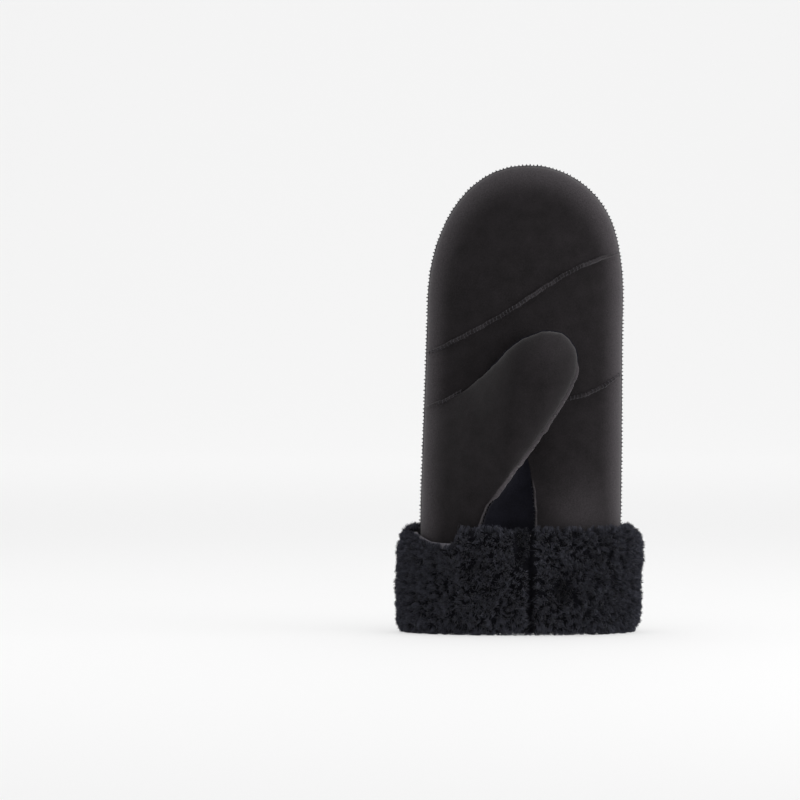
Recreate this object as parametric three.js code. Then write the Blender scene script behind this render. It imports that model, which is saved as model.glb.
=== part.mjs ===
// A left hand's sheepskin mitten, standing on its turned-back cuff.
// Millimetres, +Z up. The fingers point up, the palm faces -Y and the thumb lies on the -X side.
// Every leather panel is a wall between four seams, and its sewn edges turn out as raised lips.
import * as THREE from "three";

// Sizes of the hand
const HAND_TOP_Z = 263;
const DOME_HEIGHT = 76.5;
const HAND_HALF_WIDTH = 54;
const HAND_HALF_WIDTH_AT_CUFF = 55.5;
const HAND_LEAN = 5.5;
const PALM_DEPTH = 27;
const BACK_DEPTH = 28;

// Sizes of the leather and its seams
const WALL = 2.4;
const SEAM_GAP = 0.45;
const LIP_WIDTH = 1.1;
const LIP_HEIGHT = 1.8;
const LIP_SLOPE = 0.5;
const LIP_FADE = 6;
const SEAM_DIP = 1.8;
const SEAM_DIP_REACH = 9;

// Sizes of the thumb
const THUMB_LENGTH = 114;
const THUMB_WIDTH = 44;
const THUMB_TILT_DEG = 33.5;
const THUMB_ROOT_X = -24.4;
const THUMB_STAND_OFF = 14;
const THUMB_BULGE = 12;
const THUMB_ROOT_REACH = 30;
const THUMB_MOUND_REACH = 25;
const THUMB_FADE_BELOW_CUFF = 6;
const THUMB_EDGE_RISE = 30;
const THUMB_BULGE_RISE = 45;
const CROTCH_CLEARANCE = 1.2;
const GUSSET_RECESS = 5;
const HEEL_LIP_TOP_Z = 98;
const HEEL_LIP_FADE = 14;
const GUSSET_WALL = 1.6;
const GUSSET_CLEARANCE = 1.5;

// Sizes of the cuff
const CUFF_TOP_Z = 60;
const CUFF_STAND_OFF = 2.4;
const PILE_DEPTH = 8.6;
const MOUTH_PILE = 6.3;
const MOUTH_CLEARANCE = 0.9;
const MOUTH_PILE_TOP_Z = 24;
const HEM_Z = 6.6;
const LOCK_DEPTH = 2.6;
const LOCK_COUNT = 40;
const LOCK_ROWS = 5;
const PARTING_X = 8;
const PARTING_HALF_WIDTH = 3.2;
const PARTING_DEPTH = 5;

// Sizes of the patch on the back of the cuff
const PATCH_WIDTH = 52;
const PATCH_HEIGHT = 24;
const PATCH_X = 6;
const PATCH_Z = 25;
const PATCH_THICKNESS = 1.8;
const PATCH_MARGIN = 5.4;
const PATCH_BORDER = 2.2;
const PATCH_BORDER_SLOPE = 0.9;
const PATCH_BORDER_RISE = 0.7;

// Roundness of the sections, as exponents of a superellipse
const OUTLINE_ROUND = 2.15;
const DOME_ROUND = 2.1;
const DEPTH_ROUND = 2.2;
const FOLD_ROUND = 3;

// Grid of each kind of panel: steps across and up it
const WIDE_PANEL = { across: 14, up: 6 };
const TIP_PANEL = { across: 10, up: 8 };
const LONG_PANEL = { across: 6, up: 13 };
const HEEL_PANEL = { across: 10, up: 9 };
const THUMB_PANEL = { across: 7, up: 28 };
const BAND_PANEL = { across: 5, up: 24 };
const PATCH_PANEL = { across: 10, up: 3 };

const DOME_BASE_Z = HAND_TOP_Z - DOME_HEIGHT;
const PALM = -1;
const BACK = 1;

// Depth of the hand along its height, as shares of the palm's or back's depth
const DEPTH_ROWS = [
  { height: 0, share: 1 },
  { height: 0.24, share: 1 },
  { height: 0.45, share: 0.94 },
  { height: 0.7, share: 0.86 },
  { height: 1, share: 0.7 },
];

// Seams of the palm. Across is a share of the outline's half width there, height a share of the top.
const UPPER_SEAM = [
  { across: -1, height: 0.602 },
  { across: -0.88, height: 0.612 },
  { across: -0.27, height: 0.681 },
  { across: 0.245, height: 0.75 },
  { across: 0.55, height: 0.785 },
  { across: 1, height: 0.817 },
];
const LOWER_SEAM_THUMB_SIDE = [
  { across: -1, height: 0.483 },
  { across: -0.76, height: 0.505 },
];
const LOWER_SEAM_HIDDEN = [{ across: -0.32, height: 0.546 }];
const CROTCH = { across: -0.04, height: 0.527 };
const LOWER_SEAM_OUTER_SIDE = [
  { across: 0.28, height: 0.503 },
  { across: 0.58, height: 0.51 },
  { across: 0.82, height: 0.532 },
  { across: 1, height: 0.56 },
];
const HEEL_RIDGE = [
  { across: 0.168, height: 0.236 },
  { across: 0.13, height: 0.321 },
  { across: 0.03, height: 0.42 },
];

// Seams of the back, from the hem up to the outline
const BACK_THUMB_SEAM = [
  { across: -0.2, height: 0.24 },
  { across: -0.29, height: 0.4 },
  { across: -0.39, height: 0.55 },
  { across: -0.54, height: 0.75 },
  { across: -0.7, height: 0.87 },
  { across: -1, height: 0.94 },
];
const BACK_OUTER_SEAM = [
  { across: 0.33, height: 0.24 },
  { across: 0.36, height: 0.4 },
  { across: 0.34, height: 0.6 },
  { across: 0.36, height: 0.8 },
  { across: 0.5, height: 0.91 },
  { across: 1, height: 0.978 },
];

// Edge of the thumb from its root, up the inner side, round the tip and down the fold.
// Along is a share of the thumb's length, left a share of its width.
const THUMB_EDGE = [
  { along: 0, left: 0 },
  { along: 0.25, left: 0 },
  { along: 0.45, left: -0.035 },
  { along: 0.65, left: -0.06 },
  { along: 0.79, left: -0.05 },
  { along: 0.894, left: 0 },
  { along: 0.96, left: 0.12 },
  { along: 0.995, left: 0.32 },
  { along: 0.995, left: 0.52 },
  { along: 0.955, left: 0.68 },
  { along: 0.88, left: 0.82 },
  { along: 0.79, left: 0.93 },
  { along: 0.65, left: 0.985 },
  { along: 0.544, left: 1.116 },
];
const RAW_EDGE_END_ROW = 6;

// Soft dents of the hand. Across and height are the place, as shares of its half width and its top.
// Reach is a share of the half width, depth a share of the hand's depth on that side.
const DENTS = [
  { side: PALM, across: -0.62, height: 0.56, reach: 0.55, depth: 0.1 },
  { side: PALM, across: 0.35, height: 0.59, reach: 0.7, depth: 0.06 },
  { side: PALM, across: 0.2, height: 0.42, reach: 0.8, depth: 0.08 },
  { side: BACK, across: -0.05, height: 0.62, reach: 0.9, depth: 0.05 },
  { side: BACK, across: 0.1, height: 0.3, reach: 0.8, depth: 0.06 },
];

// Hollows in the cuff's pile. Across is a share of the hand's half width, height and reach are
// shares of the cuff's height, depth a share of the pile's.
const PILE_HOLLOWS = [
  { side: PALM, across: 0.44, height: 0.42, reach: 0.13, depth: 0.45 },
  { side: PALM, across: -0.5, height: 0.62, reach: 0.12, depth: 0.3 },
  { side: BACK, across: -0.62, height: 0.5, reach: 0.14, depth: 0.3 },
];

const mix = THREE.MathUtils.lerp;
const smooth = THREE.MathUtils.smoothstep;

// Reads a table of rows at a place, with straight lines between its rows.
function readRows(rows, key, value, place) {
  const last = rows.length - 1;
  if (place >= rows[last][key]) return rows[last][value];
  const next = Math.max(1, rows.findIndex((row) => row[key] > place));
  const [low, high] = [rows[next - 1], rows[next]];
  return mix(low[value], high[value], (place - low[key]) / (high[key] - low[key]));
}

function handCentre(z) {
  return HAND_LEAN * (z / HAND_TOP_Z - 0.5);
}

function handHalfWidth(z) {
  const up = smooth(z, CUFF_TOP_Z, DOME_BASE_Z);
  return mix(HAND_HALF_WIDTH_AT_CUFF, HAND_HALF_WIDTH, up);
}

function domeTerm(z) {
  return (Math.max(0, z - DOME_BASE_Z) / DOME_HEIGHT) ** DOME_ROUND;
}

function outlineHalfWidth(z) {
  return handHalfWidth(z) * Math.max(0, 1 - domeTerm(z)) ** (1 / OUTLINE_ROUND);
}

// A place on the flat pattern, from shares of the outline's half width and of the hand's height.
function onHand({ across, height }) {
  const z = height * HAND_TOP_Z;
  return new THREE.Vector2(handCentre(z) + across * outlineHalfWidth(z), z);
}

// A place on the flat pattern, from shares of the thumb's length and width.
function onThumb({ along, left }) {
  const tilt = THREE.MathUtils.degToRad(THUMB_TILT_DEG);
  const axis = new THREE.Vector2(Math.sin(tilt), Math.cos(tilt));
  const side = new THREE.Vector2(-Math.cos(tilt), Math.sin(tilt));
  return new THREE.Vector2(THUMB_ROOT_X, CUFF_TOP_Z)
    .addScaledVector(axis, along * THUMB_LENGTH)
    .addScaledVector(side, left * THUMB_WIDTH);
}

// Share of the outline that each long side takes, below the dome
const OUTLINE_STRAIGHT = 0.35;

// The outline as a share from 0 at the hem on the thumb's side, over the top, to 1 at the other hem.
function outlinePoint(share) {
  const side = share < 0.5 ? -1 : 1;
  const climb = Math.min(share, 1 - share);
  if (climb <= OUTLINE_STRAIGHT) {
    const z = mix(HEM_Z, DOME_BASE_Z, climb / OUTLINE_STRAIGHT);
    return new THREE.Vector2(handCentre(z) + side * handHalfWidth(z), z);
  }
  const angle = ((climb - OUTLINE_STRAIGHT) / (0.5 - OUTLINE_STRAIGHT)) * (Math.PI / 2);
  const z = DOME_BASE_Z + DOME_HEIGHT * Math.sin(angle) ** (2 / DOME_ROUND);
  const half = handHalfWidth(z) * Math.max(0, Math.cos(angle)) ** (2 / OUTLINE_ROUND);
  return new THREE.Vector2(handCentre(z) + side * half, z);
}

function outlineShare(height, side) {
  const z = height * HAND_TOP_Z;
  let climb = (OUTLINE_STRAIGHT * (z - HEM_Z)) / (DOME_BASE_Z - HEM_Z);
  if (z > DOME_BASE_Z) {
    const angle = Math.asin(((z - DOME_BASE_Z) / DOME_HEIGHT) ** (DOME_ROUND / 2));
    climb = mix(OUTLINE_STRAIGHT, 0.5, angle / (Math.PI / 2));
  }
  return side < 0 ? climb : 1 - climb;
}

// A stretch of the outline between two shares, as an edge of a panel.
function outlineEdge(from, to) {
  return (share) => outlinePoint(mix(from, to, share));
}

const SAMPLES_PER_ROW = 40;

function seamCurve(points) {
  const curve = new THREE.SplineCurve(points);
  curve.arcLengthDivisions = SAMPLES_PER_ROW * (points.length - 1);
  return curve;
}

// The share of a seam's length at one of its rows.
function rowShare(points, row) {
  const lengths = seamCurve(points).getLengths();
  return lengths[row * SAMPLES_PER_ROW] / lengths.at(-1);
}

// A stretch of a seam between two of its rows, by its length.
function stretch(points, from = 0, to = points.length - 1) {
  const curve = seamCurve(points);
  const [start, end] = [rowShare(points, from), rowShare(points, to)];
  return (share) => curve.getPointAt(THREE.MathUtils.clamp(mix(start, end, share), 0, 1));
}

function atHem(point) {
  return new THREE.Vector2(point.x, HEM_Z);
}

// Places on the outline where the seams meet it
const LOWER_LEFT = outlineShare(LOWER_SEAM_THUMB_SIDE[0].height, -1);
const LOWER_RIGHT = outlineShare(LOWER_SEAM_OUTER_SIDE.at(-1).height, 1);
const UPPER_LEFT = outlineShare(UPPER_SEAM[0].height, -1);
const UPPER_RIGHT = outlineShare(UPPER_SEAM.at(-1).height, 1);
const BACK_THUMB_TOP = outlineShare(BACK_THUMB_SEAM.at(-1).height, -1);
const BACK_OUTER_TOP = outlineShare(BACK_OUTER_SEAM.at(-1).height, 1);

const thumbJoint = onThumb(THUMB_EDGE.at(-1));
const thumbRoot = onThumb(THUMB_EDGE[0]);
const upperSeam = UPPER_SEAM.map(onHand);
const lowerSeam = [
  ...LOWER_SEAM_THUMB_SIDE.map(onHand),
  thumbJoint,
  ...LOWER_SEAM_HIDDEN.map(onHand),
  onHand(CROTCH),
  ...LOWER_SEAM_OUTER_SIDE.map(onHand),
];
const JOINT_ROW = LOWER_SEAM_THUMB_SIDE.length;
const CROTCH_ROW = JOINT_ROW + LOWER_SEAM_HIDDEN.length + 1;
const heelRidge = [atHem(onHand(HEEL_RIDGE[0])), ...HEEL_RIDGE.map(onHand), onHand(CROTCH)];
const thumbEdge = [atHem(thumbRoot), ...THUMB_EDGE.map(onThumb)];
const backThumbSeam = [atHem(onHand(BACK_THUMB_SEAM[0])), ...BACK_THUMB_SEAM.map(onHand)];
const backOuterSeam = [atHem(onHand(BACK_OUTER_SEAM[0])), ...BACK_OUTER_SEAM.map(onHand)];

// A seam as short straight runs, to measure distances from it.
const SEAM_SAMPLES = 60;

function sampled(points) {
  return new THREE.SplineCurve(points).getPoints(SEAM_SAMPLES);
}

const dippedSeams = {
  [PALM]: [upperSeam, lowerSeam, heelRidge].map(sampled),
  [BACK]: [backThumbSeam, backOuterSeam].map(sampled),
};
const bulgeLimit = [...sampled(thumbEdge), ...sampled(lowerSeam.slice(0, JOINT_ROW + 1))];

function distanceTo(samples, place) {
  return Math.min(...samples.map((sample) => sample.distanceTo(place)));
}

// Half depth of the hand on one side at a place of the flat pattern, full between seams and dented.
function handDepth(side, place) {
  const full = side === PALM ? PALM_DEPTH : BACK_DEPTH;
  const height = place.y / HAND_TOP_Z;
  const across = (place.x - handCentre(place.y)) / handHalfWidth(place.y);
  const room = Math.max(0, 1 - Math.abs(across) ** OUTLINE_ROUND - domeTerm(place.y));
  let depth = full * readRows(DEPTH_ROWS, "height", "share", height) * room ** (1 / DEPTH_ROUND);
  const inside = smooth(room, 0, 0.5) * smooth(place.y, MOUTH_PILE_TOP_Z, CUFF_TOP_Z);
  for (const samples of dippedSeams[side]) {
    const near = distanceTo(samples, place) / SEAM_DIP_REACH;
    depth -= SEAM_DIP * inside * Math.exp(-near * near);
  }
  for (const dent of DENTS.filter((one) => one.side === side)) {
    const near = onHand(dent).distanceTo(place) / (dent.reach * HAND_HALF_WIDTH);
    depth -= dent.depth * full * inside * Math.exp(-2 * near * near);
  }
  return Math.max(0, depth);
}

function onHandSurface(side, place) {
  return new THREE.Vector3(place.x, side * handDepth(side, place), place.y);
}

// Outward direction of the plain hand, without its dips, from the slope of its section.
function handNormal(point) {
  const full = point.y < 0 ? PALM_DEPTH : BACK_DEPTH;
  const value = (x, y, z) => {
    const deep = full * readRows(DEPTH_ROWS, "height", "share", z / HAND_TOP_Z);
    const across = Math.abs((x - handCentre(z)) / handHalfWidth(z)) ** OUTLINE_ROUND;
    return across + Math.abs(y / deep) ** DEPTH_ROUND + domeTerm(z);
  };
  const step = 0.05;
  const { x, y, z } = point;
  return new THREE.Vector3(
    value(x + step, y, z) - value(x - step, y, z),
    value(x, y + step, z) - value(x, y - step, z),
    value(x, y, z + step) - value(x, y, z - step),
  ).normalize();
}

// How far a place lies past the line from the thumb's root to where its fold meets the hand.
function pastThumbRoot(place) {
  const line = thumbJoint.clone().sub(thumbRoot).normalize();
  return line.y * (place.x - thumbRoot.x) - line.x * (place.y - thumbRoot.y);
}

// Share of the thumb's stand-off that its edge has at a place.
function edgeLift(place) {
  const above = smooth(place.y, CUFF_TOP_Z - THUMB_FADE_BELOW_CUFF, CUFF_TOP_Z + THUMB_EDGE_RISE);
  return above * smooth(pastThumbRoot(place), 0, THUMB_ROOT_REACH);
}

function thumbFrontPoint(place) {
  const point = onHandSurface(PALM, place);
  const half = THUMB_WIDTH / 2;
  const near = Math.min(1, distanceTo(bulgeLimit, place) / half);
  const round = Math.sqrt(1 - (1 - near) ** 2);
  const mound = smooth(pastThumbRoot(place), -THUMB_MOUND_REACH, THUMB_ROOT_REACH / 3);
  const above = smooth(place.y, CUFF_TOP_Z - THUMB_FADE_BELOW_CUFF, CUFF_TOP_Z + THUMB_BULGE_RISE);
  point.y -= THUMB_STAND_OFF * edgeLift(place) + THUMB_BULGE * round * mound * above;
  return point;
}

// A point of the thumb's inner side, between the thumb's edge and the crotch. Low down it is a gusset
// that dips in beside the heel, and higher up it folds over and lies close in front of the palm.
function thumbInnerPoint(place, u, v, edge, crotch) {
  const point = onHandSurface(PALM, place);
  const fromCrotch = 1 - u;
  const [outside, inside] = [edge(v), crotch(v)];
  const width = inside.x - outside.x;
  const gap = CROTCH_CLEARANCE * (1 - smooth(width, -GUSSET_RECESS, GUSSET_RECESS));
  const lift = Math.max(gap, THUMB_STAND_OFF * edgeLift(outside));
  const open = smooth(width, GUSSET_RECESS, THUMB_ROOT_REACH);
  const lower = open * smooth(place.y, MOUTH_PILE_TOP_Z, CUFF_TOP_Z);
  point.y -= gap + (lift - gap) * (1 - Math.sqrt(1 - fromCrotch ** FOLD_ROUND));
  point.y += GUSSET_RECESS * lower * Math.sin(Math.PI * fromCrotch);
  return point;
}

// Share of the lift over which the thumb's lips turn from outwards to sideways
const LIP_TURN = 0.3;

// Direction in which the lips of the thumb's edge stand: out of the hand at the root, then sideways.
function thumbEdgeDirection(point, share, edge) {
  const step = 0.01;
  const before = edge(Math.max(0, share - step));
  const run = edge(Math.min(1, share + step)).sub(before).normalize();
  const sideways = new THREE.Vector3(run.y, 0, -run.x);
  const lifted = smooth(edgeLift(new THREE.Vector2(point.x, point.z)), 0, LIP_TURN);
  const surface = onHandSurface(PALM, new THREE.Vector2(point.x, point.z));
  return handNormal(surface).lerp(sideways, lifted).normalize();
}

// A place inside four edges of the flat pattern, each a function of a share from 0 to 1.
function insideEdges({ bottom, top, left, right }, u, v) {
  const place = bottom(u).multiplyScalar(1 - v).addScaledVector(top(u), v);
  place.addScaledVector(left(v), 1 - u).addScaledVector(right(v), u);
  place.addScaledVector(bottom(0), -(1 - u) * (1 - v));
  place.addScaledVector(bottom(1), -u * (1 - v));
  place.addScaledVector(top(0), -(1 - u) * v);
  return place.addScaledVector(top(1), -u * v);
}

// Shares that crowd towards the ends where the surface turns down to a seam.
const EASE = {
  even: (share) => share,
  both: (share) => (1 - Math.cos(Math.PI * share)) / 2,
  start: (share) => 1 - Math.cos((Math.PI * share) / 2),
  end: (share) => Math.sin((Math.PI * share) / 2),
};

const HALVINGS = 18;

// The share along a line at which it is a given distance away from its end.
function shareAtDistance(line, end, distance) {
  const start = line(end);
  let near = 0;
  let far = 0.5;
  for (let turn = 0; turn < HALVINGS; turn += 1) {
    const middle = (near + far) / 2;
    const place = line(end === 0 ? middle : 1 - middle);
    if (place.distanceTo(start) < distance) near = middle;
    else far = middle;
  }
  return end === 0 ? near : 1 - near;
}

// The lines along a seam, by their distance from its middle: edge of the lip, its back and its foot
const EDGE_DISTANCES = [
  SEAM_GAP / 2,
  SEAM_GAP / 2 + LIP_WIDTH,
  SEAM_GAP / 2 + LIP_WIDTH + LIP_SLOPE,
];
const EDGE_LINES = EDGE_DISTANCES.length;

// Shares of a panel's lines along one direction: three close to each end, the rest eased between.
function lineShares(line, steps, ease) {
  const first = EDGE_DISTANCES.map((distance) => shareAtDistance(line, 0, distance));
  const last = EDGE_DISTANCES.map((distance) => shareAtDistance(line, 1, distance)).reverse();
  const from = first.at(-1);
  const to = last[0];
  const inner = [];
  for (let step = 1; step < steps; step += 1) {
    const share = ease(step / steps);
    inner.push(mix(from, to, share));
  }
  return [...first, ...inner, ...last];
}

// A closed wall from an outer and an inner grid of points of the same size.
function closedWall(outer, inner) {
  const rows = outer.length;
  const columns = outer[0].length;
  const position = [...outer, ...inner].flat().flatMap((point) => point.toArray());
  const index = [];
  const at = (row, column, layer) => (layer * rows + row) * columns + column;
  const quad = (a, b, c, d) => index.push(a, b, c, a, c, d);
  for (let row = 0; row + 1 < rows; row += 1) {
    for (let column = 0; column + 1 < columns; column += 1) {
      const [a, b] = [at(row, column, 0), at(row, column + 1, 0)];
      const [c, d] = [at(row + 1, column + 1, 0), at(row + 1, column, 0)];
      quad(a, b, c, d);
      const under = rows * columns;
      quad(a + under, d + under, c + under, b + under);
    }
  }
  for (let column = 0; column + 1 < columns; column += 1) {
    const end = rows - 1;
    quad(at(0, column, 1), at(0, column + 1, 1), at(0, column + 1, 0), at(0, column, 0));
    quad(at(end, column, 0), at(end, column + 1, 0), at(end, column + 1, 1), at(end, column, 1));
  }
  for (let row = 0; row + 1 < rows; row += 1) {
    const end = columns - 1;
    quad(at(row, 0, 0), at(row + 1, 0, 0), at(row + 1, 0, 1), at(row, 0, 1));
    quad(at(row, end, 1), at(row + 1, end, 1), at(row + 1, end, 0), at(row, end, 0));
  }
  const geometry = new THREE.BufferGeometry();
  geometry.setAttribute("position", new THREE.Float32BufferAttribute(position, 3));
  geometry.setIndex(index);
  return geometry;
}

// Smooth outward directions of a grid of points.
function gridNormals(grid) {
  const sheet = new THREE.PlaneGeometry(1, 1, grid[0].length - 1, grid.length - 1);
  const rowsDown = [...grid].reverse().flat();
  rowsDown.forEach((point, index) => sheet.attributes.position.setXYZ(index, ...point.toArray()));
  sheet.computeVertexNormals();
  const normals = rowsDown.map((_, index) =>
    new THREE.Vector3().fromBufferAttribute(sheet.attributes.normal, index),
  );
  const columns = grid[0].length;
  return grid.map((_, row) => {
    const start = (grid.length - 1 - row) * columns;
    return normals.slice(start, start + columns);
  });
}

const FULL_LIP = () => 1;
const NO_LIP = () => 0;

// The sides of a panel that a grid point lies close to, with its steps from each.
function sidesNear(row, column, rows, columns) {
  const steps = { bottom: row, top: rows - 1 - row, left: column, right: columns - 1 - column };
  return Object.entries(steps).filter(([, step]) => step < EDGE_LINES - 1);
}

// Builds a leather panel. Each side of it has an edge on the flat pattern, a lip and a direction.
function leatherPanel(panel) {
  const { grid, edges, lips, surface, directions = {}, easeAcross, easeUp, half, wall = WALL } = panel;
  const at = (u, v) => surface(insideEdges(edges, u, v), u, v);
  const evenColumns = lineShares((u) => at(u, 0.5), grid.across, easeAcross);
  const evenRows = lineShares((v) => at(0.5, v), grid.up, easeUp);
  const rowCuts = evenRows.map((v) => lineShares((u) => at(u, v), grid.across, easeAcross));
  const columnCuts = evenColumns.map((u) => lineShares((v) => at(u, v), grid.up, easeUp));
  const base = evenRows.map((_, row) =>
    evenColumns.map((_, column) => at(rowCuts[row][column], columnCuts[column][row])),
  );
  const normals = gridNormals(base);
  const rows = base.length;
  const columns = base[0].length;
  const outer = [];
  const inner = [];
  base.forEach((line, row) => {
    outer.push([]);
    inner.push([]);
    line.forEach((point, column) => {
      let rise = 0;
      let direction = normals[row][column];
      const pulls = [];
      for (const [side] of sidesNear(row, column, rows, columns)) {
        const upright = side === "left" || side === "right";
        const along = upright ? columnCuts[column][row] : rowCuts[row][column];
        const turn = directions[side] ?? handNormal;
        rise = Math.max(rise, lips[side](along));
        pulls.push(turn(point, along, direction.clone()));
      }
      if (pulls.length) direction = pulls.reduce((sum, one) => sum.add(one)).normalize();
      const out = point.clone().addScaledVector(direction, rise * LIP_HEIGHT);
      const into = point.clone().addScaledVector(direction, -wall);
      if (half) {
        out.y = half * Math.max(SEAM_GAP / 2, half * out.y);
        into.y = half * Math.max(SEAM_GAP / 2, half * into.y);
      }
      outer[row].push(out);
      inner[row].push(into);
    });
  });
  return closedWall(outer, inner);
}

const palmSurface = (place) => onHandSurface(PALM, place);
const backSurface = (place) => onHandSurface(BACK, place);

function straight(from, to) {
  return (share) => from.clone().lerp(to, share);
}

function reversed(edge) {
  return (share) => edge(1 - share);
}

// Two edges one after the other, the first of them taking a part of the shares.
function joined(first, second, part) {
  return (share) => (share < part ? first(share / part) : second((share - part) / (1 - part)));
}

// Lips stop at the cuff's top, where the turned cuff covers the seams.
function lipAboveCuff(edge) {
  return (share) => smooth(edge(share).y, CUFF_TOP_Z - LIP_FADE, CUFF_TOP_Z);
}

// Heights of the corners where a panel's side turns into its top, as shares of the hand's height
const TIP_CORNERS = { thumbSide: 0.86, outerSide: 0.9 };
const BACK_CORNERS = { thumbSide: 0.78, outerSide: 0.82 };

function palmTip() {
  const thumbCorner = outlineShare(TIP_CORNERS.thumbSide, -1);
  const outerCorner = outlineShare(TIP_CORNERS.outerSide, 1);
  return leatherPanel({
    grid: TIP_PANEL,
    edges: {
      bottom: stretch(upperSeam),
      top: outlineEdge(thumbCorner, outerCorner),
      left: outlineEdge(UPPER_LEFT, thumbCorner),
      right: outlineEdge(UPPER_RIGHT, outerCorner),
    },
    lips: { bottom: FULL_LIP, top: FULL_LIP, left: FULL_LIP, right: FULL_LIP },
    surface: palmSurface,
    easeAcross: EASE.both,
    easeUp: EASE.end,
    half: PALM,
  });
}

// Row of the thumb's edge at which the lower seam comes out from behind it
const SEAM_EXIT_ROW = 4;

// The lower seam's lip sinks to nothing where the thumb hides it.
function lowerSeamLip(edge) {
  const hidden = thumbJoint.x - LIP_FADE / 3;
  const exit = onThumb(THUMB_EDGE[SEAM_EXIT_ROW]).x;
  return (share) => {
    const { x } = edge(share);
    return 1 - smooth(x, hidden - LIP_FADE, hidden) + smooth(x, exit - LIP_FADE / 2, exit + LIP_FADE / 2);
  };
}

function palmBand() {
  const bottom = stretch(lowerSeam);
  return leatherPanel({
    grid: WIDE_PANEL,
    edges: {
      bottom,
      top: stretch(upperSeam),
      left: outlineEdge(LOWER_LEFT, UPPER_LEFT),
      right: outlineEdge(LOWER_RIGHT, UPPER_RIGHT),
    },
    lips: { bottom: lowerSeamLip(bottom), top: FULL_LIP, left: FULL_LIP, right: FULL_LIP },
    surface: palmSurface,
    easeAcross: EASE.both,
    easeUp: EASE.even,
    half: PALM,
  });
}

function palmHeel() {
  const left = stretch(heelRidge);
  const right = outlineEdge(1, LOWER_RIGHT);
  const top = stretch(lowerSeam, CROTCH_ROW);
  const covered = (z) => smooth(z, HEEL_LIP_TOP_Z - HEEL_LIP_FADE, HEEL_LIP_TOP_Z);
  const visible = (share) => lipAboveCuff(left)(share) * (1 - covered(left(share).y));
  return leatherPanel({
    grid: HEEL_PANEL,
    edges: { bottom: straight(left(0), right(0)), top, left, right },
    lips: {
      bottom: NO_LIP,
      top: lowerSeamLip(top),
      left: visible,
      right: lipAboveCuff(right),
    },
    surface: palmSurface,
    easeAcross: EASE.end,
    easeUp: EASE.even,
    half: PALM,
  });
}

// The thumb's lips run from the cuff to the tip, where the sewn edge ends and the leather folds over.
function thumbLip(edge, reach = 1) {
  const rows = [RAW_EDGE_END_ROW, RAW_EDGE_END_ROW + 1];
  const [from, to] = rows.map((row) => rowShare(thumbEdge, row) / reach);
  return (share) => lipAboveCuff(edge)(share) * (1 - smooth(share, from, to));
}

function thumbFront() {
  const left = outlineEdge(0, LOWER_LEFT);
  const right = stretch(thumbEdge);
  const top = stretch(lowerSeam, 0, JOINT_ROW);
  return leatherPanel({
    grid: THUMB_PANEL,
    edges: { bottom: straight(left(0), right(0)), top, left, right },
    lips: {
      bottom: NO_LIP,
      top: lowerSeamLip(top),
      left: lipAboveCuff(left),
      right: thumbLip(right),
    },
    surface: thumbFrontPoint,
    directions: { right: (point, share) => thumbEdgeDirection(point, share, right) },
    easeAcross: EASE.both,
    easeUp: EASE.even,
    half: PALM,
  });
}

// Shares of the thumb's edge and of the crotch at which the inner side ends, beside the fold
const EDGE_END = 0.94;
const CROTCH_END = 0.9;
const SHORT_STEP = 0.01;

function thumbInner() {
  const edge = stretch(thumbEdge);
  const ridgeRows = heelRidge.length - 1;
  const hiddenRows = CROTCH_ROW - JOINT_ROW;
  const ridge = stretch(heelRidge);
  const hidden = stretch(lowerSeam, CROTCH_ROW, JOINT_ROW);
  const crotchShare = ridgeRows / (ridgeRows + hiddenRows + 2);
  const crotch = joined(ridge, hidden, crotchShare);
  const left = (share) => {
    const place = edge(share * EDGE_END);
    const run = edge((share + SHORT_STEP) * EDGE_END).sub(place).normalize();
    return place.addScaledVector(new THREE.Vector2(run.y, -run.x), GUSSET_CLEARANCE);
  };
  const right = (share) => crotch(share * CROTCH_END);
  return leatherPanel({
    grid: BAND_PANEL,
    edges: {
      bottom: straight(left(0), right(0)),
      top: straight(left(1), right(1)),
      left,
      right,
    },
    lips: { bottom: NO_LIP, top: NO_LIP, left: thumbLip(left, EDGE_END), right: NO_LIP },
    surface: (place, u, v) => thumbInnerPoint(place, u, v, left, right),
    directions: {
      left: (point, share) => thumbEdgeDirection(point, share, left),
      right: (point, share, lying) => {
        const folded = smooth(left(share).x - right(share).x, -4 * GUSSET_RECESS, 0);
        return handNormal(point).lerp(lying, folded).normalize();
      },
    },
    easeAcross: EASE.start,
    easeUp: EASE.even,
    half: PALM,
    wall: GUSSET_WALL,
  });
}

function backMiddle() {
  const left = stretch(backOuterSeam);
  const right = stretch(backThumbSeam);
  const top = outlineEdge(BACK_OUTER_TOP, BACK_THUMB_TOP);
  return leatherPanel({
    grid: LONG_PANEL,
    edges: { bottom: straight(left(0), right(0)), top, left, right },
    lips: { bottom: NO_LIP, top: FULL_LIP, left: lipAboveCuff(left), right: lipAboveCuff(right) },
    surface: backSurface,
    easeAcross: EASE.even,
    easeUp: EASE.end,
    half: BACK,
  });
}

function backThumbSide() {
  const left = stretch(backThumbSeam);
  const corner = outlineShare(BACK_CORNERS.thumbSide, -1);
  const right = outlineEdge(0, corner);
  const top = outlineEdge(BACK_THUMB_TOP, corner);
  return leatherPanel({
    grid: LONG_PANEL,
    edges: { bottom: straight(left(0), right(0)), top, left, right },
    lips: { bottom: NO_LIP, top: FULL_LIP, left: lipAboveCuff(left), right: lipAboveCuff(right) },
    surface: backSurface,
    easeAcross: EASE.end,
    easeUp: EASE.end,
    half: BACK,
  });
}

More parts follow.
